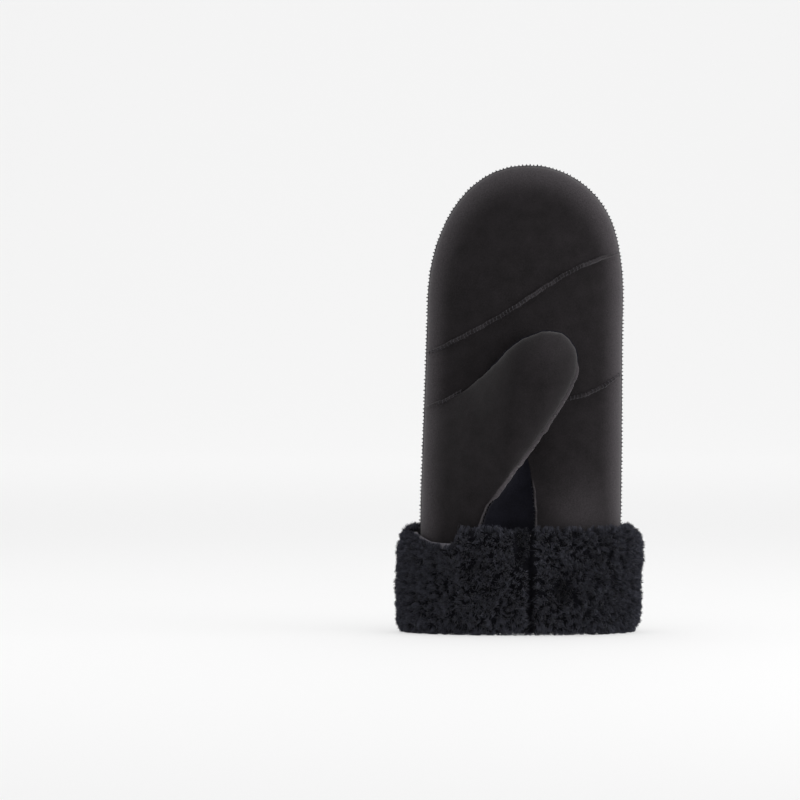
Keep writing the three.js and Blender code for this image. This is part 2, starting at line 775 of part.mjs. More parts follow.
function backOuterSide() {
  const corner = outlineShare(BACK_CORNERS.outerSide, 1);
  const left = outlineEdge(1, corner);
  const right = stretch(backOuterSeam);
  const top = outlineEdge(corner, BACK_OUTER_TOP);
  return leatherPanel({
    grid: LONG_PANEL,
    edges: { bottom: straight(left(0), right(0)), top, left, right },
    lips: { bottom: NO_LIP, top: FULL_LIP, left: lipAboveCuff(left), right: lipAboveCuff(right) },
    surface: backSurface,
    easeAcross: EASE.start,
    easeUp: EASE.end,
    half: BACK,
  });
}

// A point of the cuff at an angle round the hand, a height and a distance out from the leather.
function roundHand(angle, z, out) {
  const at = (turn) => {
    const [c, s] = [Math.cos(turn), Math.sin(turn)];
    const depth = s < 0 ? PALM_DEPTH : BACK_DEPTH;
    const x = handCentre(z) + handHalfWidth(z) * Math.sign(c) * Math.abs(c) ** (2 / OUTLINE_ROUND);
    const y = depth * Math.sign(s) * Math.abs(s) ** (2 / DEPTH_ROUND);
    return new THREE.Vector2(x, y);
  };
  const step = 0.02;
  const run = at(angle + step).sub(at(angle - step)).normalize();
  const place = at(angle).addScaledVector(new THREE.Vector2(run.y, -run.x), out);
  return new THREE.Vector3(place.x, place.y, z);
}

const CUFF_OUT = CUFF_STAND_OFF + WALL + PILE_DEPTH;
const PATCH_OUT = CUFF_OUT - PATCH_THICKNESS;

// Distance of the pile's outer face from the leather, with its locks, parting, hollows and patch.
function pileOut(column, row, angle, z) {
  const ridge = (column + row) % 2 === 0 ? 1 : -1;
  const varied = 0.75 + 0.25 * Math.sin(column * 2.4 + row * 1.7);
  const point = roundHand(angle, z, CUFF_OUT);
  const side = point.y < 0 ? PALM : BACK;
  let out = CUFF_OUT + (ridge * varied * LOCK_DEPTH) / 2;
  if (side === PALM) {
    const near = (point.x - PARTING_X) / PARTING_HALF_WIDTH;
    out -= PARTING_DEPTH * Math.exp(-near * near);
  }
  for (const hollow of PILE_HOLLOWS.filter((one) => one.side === side)) {
    const dx = point.x - handCentre(z) - hollow.across * HAND_HALF_WIDTH;
    const dz = z - hollow.height * CUFF_TOP_Z;
    const near = Math.hypot(dx, dz) / (hollow.reach * 2 * CUFF_TOP_Z);
    out -= hollow.depth * PILE_DEPTH * Math.exp(-2 * near * near);
  }
  const beside = Math.abs(point.x - PATCH_X) < PATCH_WIDTH / 2 + PATCH_MARGIN;
  const level = Math.abs(z - PATCH_Z) < PATCH_HEIGHT / 2 + PATCH_MARGIN;
  if (side === BACK && beside && level) out = Math.min(out, PATCH_OUT - SEAM_GAP);
  return out;
}

// The pile inside the mouth, from the floor up. Depth is a share of its depth from the leather, up a
// share of its height.
const MOUTH_ROWS = [
  { depth: 0.5, up: 0 },
  { depth: 0.9, up: 0.08 },
  { depth: 1, up: 0.4 },
  { depth: 0.85, up: 0.9 },
  { depth: 0.4, up: 1 },
  { depth: 0, up: 0.92 },
];

// The top of the turned cuff, from its leather edge out over the pile. Both columns are shares of the
// pile's depth, rise from the cuff's top.
const BROW_ROWS = [
  { out: 0, rise: -0.12 },
  { out: 0.3, rise: 0.12 },
  { out: 0.75, rise: -0.18 },
];
const LOCKS_FROM = 0.9;
const LOCKS_TO = 0.1;
const FLOOR_INSET = 0.35;

// The cuff's section, walked round its hem: inner pile, notch for the panels, leather, pile, floor.
function cuffSection() {
  const inside = -WALL - MOUTH_CLEARANCE;
  const shelf = HEM_Z - SEAM_GAP;
  const rawEdge = CUFF_STAND_OFF + WALL;
  const mouth = MOUTH_ROWS.map(({ depth, up }) => ({
    out: inside - depth * MOUTH_PILE,
    z: up * MOUTH_PILE_TOP_Z,
  }));
  const brow = BROW_ROWS.map(({ out, rise }) => ({
    out: rawEdge + out * PILE_DEPTH,
    z: CUFF_TOP_Z + rise * PILE_DEPTH,
  }));
  const locks = Array.from({ length: 2 * LOCK_ROWS + 1 }, (_, row) => ({
    lock: row,
    z: CUFF_TOP_Z * mix(LOCKS_FROM, LOCKS_TO, row / (2 * LOCK_ROWS)),
  }));
  return [
    { out: CUFF_OUT / 2, z: 0 },
    ...mouth,
    { out: inside, z: shelf },
    { out: CUFF_STAND_OFF, z: shelf },
    { out: CUFF_STAND_OFF, z: brow[0].z },
    ...brow,
    ...locks,
    { out: CUFF_OUT - FLOOR_INSET * PILE_DEPTH, z: 0 },
  ];
}

function cuff() {
  const section = cuffSection();
  const columns = 2 * LOCK_COUNT;
  const position = [];
  const index = [];
  for (let column = 0; column < columns; column += 1) {
    const angle = (2 * Math.PI * column) / columns;
    for (const { out, lock, z } of section) {
      const reach = lock === undefined ? out : pileOut(column, lock, angle, z);
      position.push(...roundHand(angle, z, reach).toArray());
    }
  }
  const rows = section.length;
  for (let column = 0; column < columns; column += 1) {
    for (let row = 0; row < rows; row += 1) {
      const [here, next] = [column * rows, ((column + 1) % columns) * rows];
      const above = (row + 1) % rows;
      index.push(here + row, here + above, next + above);
      index.push(here + row, next + above, next + row);
    }
  }
  const geometry = new THREE.BufferGeometry();
  geometry.setAttribute("position", new THREE.Float32BufferAttribute(position, 3));
  geometry.setIndex(index);
  return geometry;
}

// The angle round the hand at which the back of the cuff has a given place across.
function backAngleAt(x) {
  const share = (x - handCentre(PATCH_Z)) / (HAND_HALF_WIDTH_AT_CUFF + CUFF_OUT);
  return Math.acos(THREE.MathUtils.clamp(share, -1, 1));
}

function cuffPatch() {
  const borderLines = [0, PATCH_BORDER, PATCH_BORDER + PATCH_BORDER_SLOPE];
  const lines = (length, steps) => {
    const inner = [];
    for (let step = 1; step < steps; step += 1) inner.push((length * step) / steps);
    return [...borderLines, ...inner, ...[...borderLines].reverse().map((inset) => length - inset)];
  };
  const acrossLines = lines(PATCH_WIDTH, PATCH_PANEL.across);
  const upLines = lines(PATCH_HEIGHT, PATCH_PANEL.up);
  const onBorder = (place, length) => Math.min(place, length - place) <= PATCH_BORDER;
  const layer = (outer) =>
    upLines.map((up) =>
      acrossLines.map((across) => {
        const x = PATCH_X + PATCH_WIDTH / 2 - across;
        const z = PATCH_Z - PATCH_HEIGHT / 2 + up;
        const raised = onBorder(across, PATCH_WIDTH) || onBorder(up, PATCH_HEIGHT);
        const face = CUFF_OUT + (raised ? PATCH_BORDER_RISE : 0);
        return roundHand(backAngleAt(x), z, outer ? face : PATCH_OUT);
      }),
    );
  return closedWall(layer(true), layer(false));
}

// Finishes
const SUEDE = { color: "#2a2729", roughness: 0.95, metalness: 0 };
const PILE = { color: "#1f2025", roughness: 1, metalness: 0 };
const SMOOTH_LEATHER = { color: "#262a31", roughness: 0.55, metalness: 0 };

function piece(name, geometry, finish) {
  geometry.computeVertexNormals();
  const mesh = new THREE.Mesh(geometry, new THREE.MeshStandardMaterial(finish));
  mesh.name = name;
  return mesh;
}

const hand = new THREE.Group();
hand.add(
  piece("back_middle", backMiddle(), SUEDE),
  piece("back_thumb_side", backThumbSide(), SUEDE),
  piece("back_outer_side", backOuterSide(), SUEDE),
  piece("palm_tip", palmTip(), SUEDE),
  piece("palm_band", palmBand(), SUEDE),
  piece("palm_heel", palmHeel(), SUEDE),
);

const thumb = new THREE.Group();
thumb.add(
  piece("thumb_front", thumbFront(), SUEDE),
  piece("thumb_inner", thumbInner(), SUEDE),
);

const turnedCuff = new THREE.Group();
turnedCuff.add(
  piece("cuff", cuff(), PILE),
  piece("cuff_patch", cuffPatch(), SMOOTH_LEATHER),
);

const mitten = new THREE.Group();
mitten.add(hand, thumb, turnedCuff);

// The origin is the middle of the space that the mitten takes, on the floor.
const space = new THREE.Box3().setFromObject(mitten);
const middle = space.getCenter(new THREE.Vector3());
mitten.position.set(-middle.x, -middle.y, -space.min.z);

export default mitten;
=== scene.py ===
"""Looks of a left hand's sheepskin mitten that stands on its turned-back wool cuff.

Sizes are millimetres in the pattern of the hand, and are turned into metres where meshes are made.
"""

import logging
import math
from dataclasses import dataclass, field
from enum import Enum
from typing import Callable

import bmesh
import bpy
import numpy as np
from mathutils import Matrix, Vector


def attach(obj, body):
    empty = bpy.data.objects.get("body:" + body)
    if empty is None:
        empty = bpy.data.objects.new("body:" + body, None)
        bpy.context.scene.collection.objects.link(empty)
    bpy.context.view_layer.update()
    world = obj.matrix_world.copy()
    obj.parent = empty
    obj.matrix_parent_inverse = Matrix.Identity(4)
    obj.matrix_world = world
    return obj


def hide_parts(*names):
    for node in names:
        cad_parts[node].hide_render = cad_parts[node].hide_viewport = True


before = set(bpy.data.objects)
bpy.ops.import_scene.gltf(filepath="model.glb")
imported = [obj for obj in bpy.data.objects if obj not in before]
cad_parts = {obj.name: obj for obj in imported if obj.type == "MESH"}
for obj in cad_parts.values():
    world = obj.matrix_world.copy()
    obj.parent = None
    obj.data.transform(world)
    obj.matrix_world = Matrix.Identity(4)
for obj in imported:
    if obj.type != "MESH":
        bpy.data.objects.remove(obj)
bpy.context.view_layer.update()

MM = 0.001
SHIFT = np.array([2.1068, 2.561, 0.0])
SEED = 7
LOG = logging.getLogger("mitten")
Array = np.ndarray
Edge = Callable[[Array], Array]
Clumps = tuple[Array, Array, Array, Array]


class Side(Enum):
    """The two faces of the hand, with the direction of each along Y."""

    PALM = -1
    BACK = 1


class Slot(Enum):
    """The record's material slots."""

    SUEDE = "suede"
    PILE = "wool_pile"
    LEATHER = "smooth_leather"


def mix(low: Array, high: Array, share: Array) -> Array:
    """Returns the place between two values at a share."""
    return low + (high - low) * share


def smooth(value: Array, low: float, high: float) -> Array:
    """Returns an eased step from 0 at low to 1 at high."""
    share = np.clip((value - low) / (high - low), 0.0, 1.0)
    return share * share * (3.0 - 2.0 * share)


def unit(vectors: Array) -> Array:
    """Returns the vectors with a length of one."""
    return vectors / np.maximum(np.linalg.norm(vectors, axis=-1, keepdims=True), 1e-9)


def to_metres(points: Array) -> Array:
    """Returns pattern points in the frame of the part."""
    return (points + SHIFT) * MM


def right_of(run: Array) -> Array:
    """Returns flat directions turned a quarter to the right."""
    return np.stack([run[..., 1], -run[..., 0]], axis=-1)


def lengths_of(points: Array) -> Array:
    """Returns the length of a line of points up to each of them."""
    steps = np.linalg.norm(np.diff(points, axis=0), axis=1)
    return np.concatenate([[0.0], np.cumsum(steps)])


def nearest(points: Array, line: Array) -> tuple[Array, Array]:
    """Finds how close points are to a line of short straight runs.

    Args:
        points: points of any shape of array.
        line: the ends of the runs.

    Returns:
        Distances, and where along the line, from 0 to 1.
    """
    flat = points.reshape(-1, points.shape[-1])
    start, run = line[:-1], np.diff(line, axis=0)
    square = np.maximum((run**2).sum(axis=-1), 1e-12)
    gaps, places = [], []
    for i in range(0, len(flat), 2000):
        part = flat[i : i + 2000]
        share = np.clip((part @ run.T - (start * run).sum(axis=-1)) / square, 0.0, 1.0)
        gap = np.linalg.norm(part[:, None] - start - run * share[..., None], axis=-1)
        best = gap.argmin(axis=1)
        row = np.arange(len(best))
        gaps.append(gap[row, best])
        places.append((best + share[row, best]) / len(run))
    shape = points.shape[:-1]
    return np.concatenate(gaps).reshape(shape), np.concatenate(places).reshape(shape)


class Lumps:
    """Seeded smooth noise over the flat pattern, from a lattice of random values."""

    CELLS = 64

    def __init__(self, seed: int) -> None:
        """Makes the lattice.

        Args:
            seed: start of the random values.
        """
        self.table = np.random.default_rng(seed).uniform(-1.0, 1.0, (self.CELLS, self.CELLS))

    def at(self, first: Array, second: Array, size: float) -> Array:
        """Reads the noise.

        Args:
            first: first coordinate, in millimetres.
            second: second coordinate, in millimetres.
            size: spacing of the lattice, in millimetres.

        Returns:
            Values from about -1 to 1.
        """
        a, b = first / size + 17.3, second / size + 5.7
        i, j = np.floor(a).astype(int), np.floor(b).astype(int)
        s, t = smooth(a - i, 0.0, 1.0), smooth(b - j, 0.0, 1.0)
        here, beside = i % self.CELLS, (i + 1) % self.CELLS
        columns = [(j + k) % self.CELLS for k in (0, 1)]
        low, high = (mix(self.table[here, k], self.table[beside, k], s) for k in columns)
        return mix(low, high, t)


class Seam:
    """A smooth curve through points of the flat pattern, read by its length."""

    SAMPLES = 40

    def __init__(self, points: list[Array], wobble: float = 0.25) -> None:
        """Samples the curve.

        Args:
            points: its rows, each a place on the pattern.
            wobble: how far it strays sideways, as hand sewing does.
        """
        rows = np.array(points, dtype=float)
        before = np.vstack([rows[:1], rows, rows[-1:]])
        share = np.linspace(0.0, 1.0, self.SAMPLES + 1)[:-1, None]
        runs = []
        for i in range(len(rows) - 1):
            p0, p1, p2 = before[i], before[i + 1], before[i + 2]
            p3 = before[min(i + 3, len(before) - 1)]
            v0, v1 = (p2 - p0) / 2.0, (p3 - p1) / 2.0
            cubic = (2.0 * p1 - 2.0 * p2 + v0 + v1) * share**3
            runs.append(cubic + (-3.0 * p1 + 3.0 * p2 - 2.0 * v0 - v1) * share**2 + v0 * share + p1)
        self.places = np.vstack([*runs, rows[-1:]])
        self.length = lengths_of(self.places)
        ends = smooth(self.length, 0.0, 8.0) * smooth(self.length[-1] - self.length, 0.0, 8.0)
        wave = 0.6 * np.sin(self.length / 1.9 + rows[0, 0]) + 0.4 * np.sin(self.length / 0.9 + rows[0, 1])
        aside = right_of(unit(np.gradient(self.places, axis=0)))
        self.places = self.places + (wobble * ends * wave)[:, None] * aside
        self.length = lengths_of(self.places)

    def row_share(self, row: int) -> float:
        """Returns the share of the length at a row."""
        return float(self.length[min(row * self.SAMPLES, len(self.length) - 1)] / self.length[-1])

    def at(self, share: Array) -> Array:
        """Returns places at shares of the length."""
        reach = np.clip(share, 0.0, 1.0) * self.length[-1]
        return np.stack([np.interp(reach, self.length, self.places[:, k]) for k in (0, 1)], axis=-1)

    def part(self, start: float = 0.0, end: float = 1.0) -> Edge:
        """Returns a stretch of the seam between two shares, as an edge."""
        return lambda share: self.at(mix(start, end, np.asarray(share, dtype=float)))

    def away(self, places: Array, skip: int = 8) -> Array:
        """Returns the distance of each place from the seam, on every so many of its samples."""
        return nearest(places, self.places[::skip])[0]


@dataclass
class Hand:
    """The mitten's form as a function of the flat pattern."""

    top: float = 263.0
    dome: float = 76.5
    half: float = 54.0
    half_at_cuff: float = 55.5
    lean: float = 5.5
    palm_depth: float = 27.0
    back_depth: float = 28.0
    cuff_top: float = 60.0
    hem: float = 6.6
    outline_round: float = 2.15
    dome_round: float = 2.1
    depth_round: float = 2.2
    seam_dip: float = 1.8
    dip_reach: float = 9.0
    thumb_length: float = 114.0
    thumb_width: float = 44.0
    thumb_tilt: float = math.radians(33.5)
    thumb_root_x: float = -24.4
    stand_off: float = 14.0
    bulge: float = 12.0
    root_reach: float = 30.0
    crotch_gap: float = 1.2
    recess: float = 5.0
    gusset_gap: float = 0.6
    swell_most: float = 0.9
    shoulder: tuple = (46.0, 238.0)
    shoulder_most: float = 2.0
    shoulder_reach: float = 24.0
    # Painted light spots on the palm side (x, z, reach, strength): lighter suede at the heel's outer side and
    # at the thumb's tip, where light falls.
    painted_light_spots: tuple = ((34.0, 66.0, 18.0, 0.4), (14.0, 163.0, 13.0, 0.2))
    depth_rows: tuple = ((0, 1), (0.24, 1), (0.45, 0.94), (0.7, 0.86), (1, 0.7))
    upper_rows: tuple = (
        (-1, 0.602), (-0.88, 0.612), (-0.27, 0.681), (0.245, 0.75), (0.55, 0.785), (1, 0.817),
    )
    lower_left: tuple = ((-1, 0.483), (-0.76, 0.505))
    lower_right: tuple = (
        (-0.32, 0.546), (-0.04, 0.527), (0.28, 0.503), (0.58, 0.51), (0.82, 0.532), (1, 0.56),
    )
    heel_rows: tuple = ((0.14, 0.236), (0.103, 0.321), (0.01, 0.42))
    back_thumb_rows: tuple = (
        (-0.2, 0.24), (-0.29, 0.4), (-0.39, 0.55), (-0.54, 0.75), (-0.7, 0.87), (-1, 0.94),
    )
    back_outer_rows: tuple = ((0.33, 0.24), (0.36, 0.4), (0.34, 0.6), (0.36, 0.8), (0.5, 0.91), (1, 0.978))
    thumb_rows: tuple = (
        (0, 0), (0.25, 0.07), (0.45, 0.045), (0.65, 0.03), (0.79, 0.045), (0.894, 0.09), (0.965, 0.185),
        (1.01, 0.34), (1.02, 0.52), (0.99, 0.69), (0.93, 0.83), (0.835, 0.955), (0.68, 1.025), (0.544, 1.116),
    )
    dents: tuple = (
        (Side.PALM, -0.62, 0.56, 0.55, 0.1),
        (Side.PALM, 0.35, 0.59, 0.7, 0.06),
        (Side.PALM, 0.2, 0.42, 0.8, 0.08),
        (Side.BACK, -0.05, 0.62, 0.9, 0.05),
        (Side.BACK, 0.1, 0.3, 0.8, 0.06),
    )

    def __post_init__(self) -> None:
        """Lays out the seams."""
        thumb = [self.on_thumb(*row) for row in self.thumb_rows]
        self.joint, self.root = thumb[-1], thumb[0]
        crotch = self.on_hand(*self.lower_right[1])
        self.upper = Seam([self.on_hand(*row) for row in self.upper_rows])
        left = [self.on_hand(*row) for row in self.lower_left]
        right = [self.on_hand(*row) for row in self.lower_right]
        self.lower = Seam([*left, self.joint, *right])
        self.joint_share = self.lower.row_share(2)
        self.crotch_share = self.lower.row_share(4)
        ridge = [self.on_hand(*row) for row in self.heel_rows]
        self.ridge = Seam([self.at_hem(ridge[0]), *ridge, crotch])
        self.thumb = Seam([self.at_hem(self.root), *thumb])
        self.raw_end = (self.thumb.row_share(6), self.thumb.row_share(7))
        self.root_share = self.thumb.row_share(1)
        self.tip_share = (self.thumb.row_share(8) + self.thumb.row_share(9)) / 2.0
        tables = (self.back_thumb_rows, self.back_outer_rows)
        backs = [[self.on_hand(*row) for row in rows] for rows in tables]
        self.back_thumb, self.back_outer = [Seam([self.at_hem(rows[0]), *rows]) for rows in backs]
        self.bulge_limit = [self.thumb, Seam([*left, self.joint])]
        self.dipped = {
            Side.PALM: [self.upper, self.lower, self.ridge],
            Side.BACK: [self.back_thumb, self.back_outer],
        }
        self.hidden_from = self.joint[0] - 2.0
        self.exit_x = self.on_thumb(*self.thumb_rows[4])[0]
        self.lumps = Lumps(SEED)

    def at_hem(self, place: Array) -> Array:
        """Returns the place on the hem below a place."""
        return np.array([place[0], self.hem])

    def centre(self, z: Array) -> Array:
        """Returns the middle of the hand at a height."""
        return self.lean * (z / self.top - 0.5)

    def half_width(self, z: Array) -> Array:
        """Returns half the hand's width below the dome."""
        return mix(self.half_at_cuff, self.half, smooth(z, self.cuff_top, self.top - self.dome))

    def dome_term(self, z: Array) -> Array:
        """Returns how far up the dome a height lies, as its share of the superellipse."""
        return (np.maximum(0.0, z - self.top + self.dome) / self.dome) ** self.dome_round

    def on_hand(self, across: float, height: float) -> Array:
        """Returns a place from shares of the outline's half width and the height."""
        z = height * self.top
        half = self.half_width(z) * max(0.0, 1.0 - self.dome_term(z)) ** (1.0 / self.outline_round)
        return np.array([self.centre(z) + across * half, z])

    def on_thumb(self, along: float, left: float) -> Array:
        """Returns a place from shares of the thumb's length and width."""
        sine, cosine = math.sin(self.thumb_tilt), math.cos(self.thumb_tilt)
        x = self.thumb_root_x + along * self.thumb_length * sine - left * self.thumb_width * cosine
        z = self.cuff_top + along * self.thumb_length * cosine + left * self.thumb_width * sine
        return np.array([x, z])

    def outline(self, share: Array) -> Array:
        """Returns the outline at shares, from one hem over the top to the other."""
        share = np.asarray(share, dtype=float)
        side = np.where(share < 0.5, -1.0, 1.0)
        climb = np.minimum(share, 1.0 - share)
        angle = np.clip((climb - 0.35) / 0.15, 0.0, 1.0) * math.pi / 2.0
        low = self.top - self.dome
        arch = low + self.dome * np.sin(angle) ** (2.0 / self.dome_round)
        z = np.where(climb <= 0.35, mix(self.hem, low, climb / 0.35), arch)
        half = self.half_width(z) * np.clip(np.cos(angle), 0.0, 1.0) ** (2.0 / self.outline_round)
        return np.stack([self.centre(z) + side * half, z], axis=-1)

    def outline_share(self, height: float, side: int) -> float:
        """Returns the outline's share at a height.

        Args:
            height: share of the hand's height.
            side: -1 on the thumb's side, 1 on the other.
        """
        z = height * self.top
        low = self.top - self.dome
        climb = 0.35 * (z - self.hem) / (low - self.hem)
        if z > low:
            angle = math.asin(((z - low) / self.dome) ** (self.dome_round / 2.0))
            climb = 0.35 + 0.15 * angle / (math.pi / 2.0)
        return climb if side < 0 else 1.0 - climb

    def outline_part(self, start: float, end: float) -> Edge:
        """Returns a stretch of the outline as an edge."""
        return lambda share: self.outline(mix(start, end, np.asarray(share, dtype=float)))

    def depth(self, side: Side, places: Array) -> Array:
        """Returns the hand's half depth at places of the pattern.

        Args:
            side: palm or back.
            places: places on the pattern.
        """
        full = self.palm_depth if side is Side.PALM else self.back_depth
        x, z = places[..., 0], places[..., 1]
        room = self.room(places)
        heights, shares = np.array(self.depth_rows, dtype=float).T
        depth = full * np.interp(z / self.top, heights, shares) * room ** (1.0 / self.depth_round)
        inside = smooth(room, 0.0, 0.5) * smooth(z, 24.0, self.cuff_top)
        for seam in self.dipped[side]:
            depth = depth - self.seam_dip * inside * np.exp(-((seam.away(places) / self.dip_reach) ** 2))
        for where, cross, height, reach, deep in self.dents:
            if where is side:
                near = np.linalg.norm(places - self.on_hand(cross, height), axis=-1) / (reach * self.half)
                depth = depth - deep * full * inside * np.exp(-2.0 * near * near)
        slack = 0.7 * self.lumps.at(x, z + 300.0 * side.value, 26.0)
        slack = slack + 0.3 * self.lumps.at(x, z - 90.0 * side.value, 11.0)
        return np.maximum(0.0, depth + slack * inside)

    def room(self, places: Array) -> Array:
        """Returns 1 in the middle of the pattern, falling to 0 at its outline."""
        across = np.abs((places[..., 0] - self.centre(places[..., 1])) / self.half_width(places[..., 1]))
        return np.maximum(0.0, 1.0 - across**self.outline_round - self.dome_term(places[..., 1]))

    def surface(self, side: Side, places: Array) -> Array:
        """Returns points of the hand's surface over places of the pattern."""
        return np.stack([places[..., 0], side.value * self.depth(side, places), places[..., 1]], axis=-1)

    def normal(self, points: Array) -> Array:
        """Returns the plain hand's outward directions at points."""
        full = np.where(points[..., 1] < 0.0, self.palm_depth, self.back_depth)
        heights, shares = np.array(self.depth_rows, dtype=float).T

        def value(moved: Array) -> Array:
            """Returns the superellipse's value at points."""
            x, y, z = moved[..., 0], moved[..., 1], moved[..., 2]
            deep = full * np.interp(z / self.top, heights, shares)
            across = np.abs((x - self.centre(z)) / self.half_width(z)) ** self.outline_round
            return across + np.abs(y / deep) ** self.depth_round + self.dome_term(z)

        steps = np.eye(3) * 0.05
        return unit(np.stack([value(points + step) - value(points - step) for step in steps], axis=-1))

    def swell(self, points: Array) -> Array:
        """Returns how far the stuffed leather stands out near its outline, most at the outer shoulder."""
        places = points[..., [0, 2]]
        near = np.linalg.norm(places - np.array(self.shoulder), axis=-1) / self.shoulder_reach
        most = self.swell_most + self.shoulder_most * np.exp(-near * near)
        return most * (1.0 - smooth(self.room(places), 0.0, 0.6))

    def past_root(self, places: Array) -> Array:
        """Returns how far places lie past the line from the thumb's root to its joint."""
        line = (self.joint - self.root) / np.linalg.norm(self.joint - self.root)
        return line[1] * (places[..., 0] - self.root[0]) - line[0] * (places[..., 1] - self.root[1])

    def edge_lift(self, places: Array) -> Array:
        """Returns the share of the stand-off that the thumb's edge has at places."""
        above = smooth(places[..., 1], self.cuff_top - 6.0, self.cuff_top + 30.0)
        return above * smooth(self.past_root(places), 0.0, self.root_reach)

    def thumb_front(self, places: Array) -> Array:
        """Returns points of the thumb's front over places of the pattern."""
        points = self.surface(Side.PALM, places)
        away = np.minimum(*[seam.away(places, 3) for seam in self.bulge_limit])
        near = np.minimum(1.0, away / (self.thumb_width / 2.0))
        swell = np.sqrt(np.maximum(0.0, 1.0 - (1.0 - near) ** 2))
        mound = smooth(self.past_root(places), -25.0, self.root_reach / 3.0)
        above = smooth(places[..., 1], self.cuff_top - 6.0, self.cuff_top + 45.0)
        points[..., 1] -= self.stand_off * self.edge_lift(places) + self.bulge * swell * mound * above
        return points

    def thumb_inner(self, places: Array, u: Array, v: Array, edges: tuple[Edge, Edge]) -> Array:
        """Returns points of the thumb's inner side.

        Args:
            places: places on the pattern.
            u: shares from the thumb's edge to the crotch.
            v: shares up both edges.
            edges: the thumb's edge and the crotch.
        """
        points = self.surface(Side.PALM, places)
        far = np.clip(1.0 - u, 0.0, 1.0)
        outside, inside = edges[0](v), edges[1](v)
        width = inside[..., 0] - outside[..., 0]
        gap = self.crotch_gap * (1.0 - smooth(width, -self.recess, self.recess))
        lift = np.maximum(gap, self.stand_off * self.edge_lift(outside))
        lower = smooth(width, self.recess, self.root_reach) * smooth(places[..., 1], 24.0, self.cuff_top)
        points[..., 1] -= gap + (lift - gap) * (1.0 - np.sqrt(np.maximum(0.0, 1.0 - far**3)))
        points[..., 1] += self.recess * lower * np.sin(math.pi * far)
        return points

    def thumb_turn(self, points: Array, share: Array, edge: Edge) -> Array:
        """Returns the direction of the thumb's lips: out of the hand at the root, then sideways."""
        run = edge(np.minimum(1.0, share + 0.01)) - edge(np.maximum(0.0, share - 0.01))
        sideways = unit(np.stack([run[..., 1], np.zeros_like(share), -run[..., 0]], axis=-1))
        places = points[..., [0, 2]]
        lifted = smooth(self.edge_lift(places), 0.0, 0.3)[..., None]
        return unit(mix(self.normal(self.surface(Side.PALM, places)), sideways, lifted))


HAND = Hand()


def srgb(code: str) -> tuple[float, float, float, float]:
    """Returns a hex colour as linear values with an alpha of one."""
    values = [int(code[i : i + 2], 16) / 255.0 for i in (1, 3, 5)]
    linear = [v / 12.92 if v <= 0.04045 else ((v + 0.055) / 1.055) ** 2.4 for v in values]
    return (*linear, 1.0)


def add_node(
    tree: bpy.types.NodeTree,
    kind: str,
    values: dict | None = None,
    links: dict | None = None,
    **settings: object,
) -> bpy.types.Node:
    """Adds a shader node.

    Args:
        tree: the material's node tree.
        kind: type of the node.
        values: input values by name or number.
        links: output sockets by input name or number.
        settings: properties of the node.

    Returns:
        The node.
    """
    node = tree.nodes.new(kind)
    for name, value in settings.items():
        setattr(node, name, value)
    for name, value in (values or {}).items():
        node.inputs[name].default_value = value
    for name, source in (links or {}).items():
        tree.links.new(source, node.inputs[name])
    return node


def per_mm(size: float) -> float:
    """Returns the texture scale for a pattern of that size in millimetres."""
    return 1.0 / (size * MM)


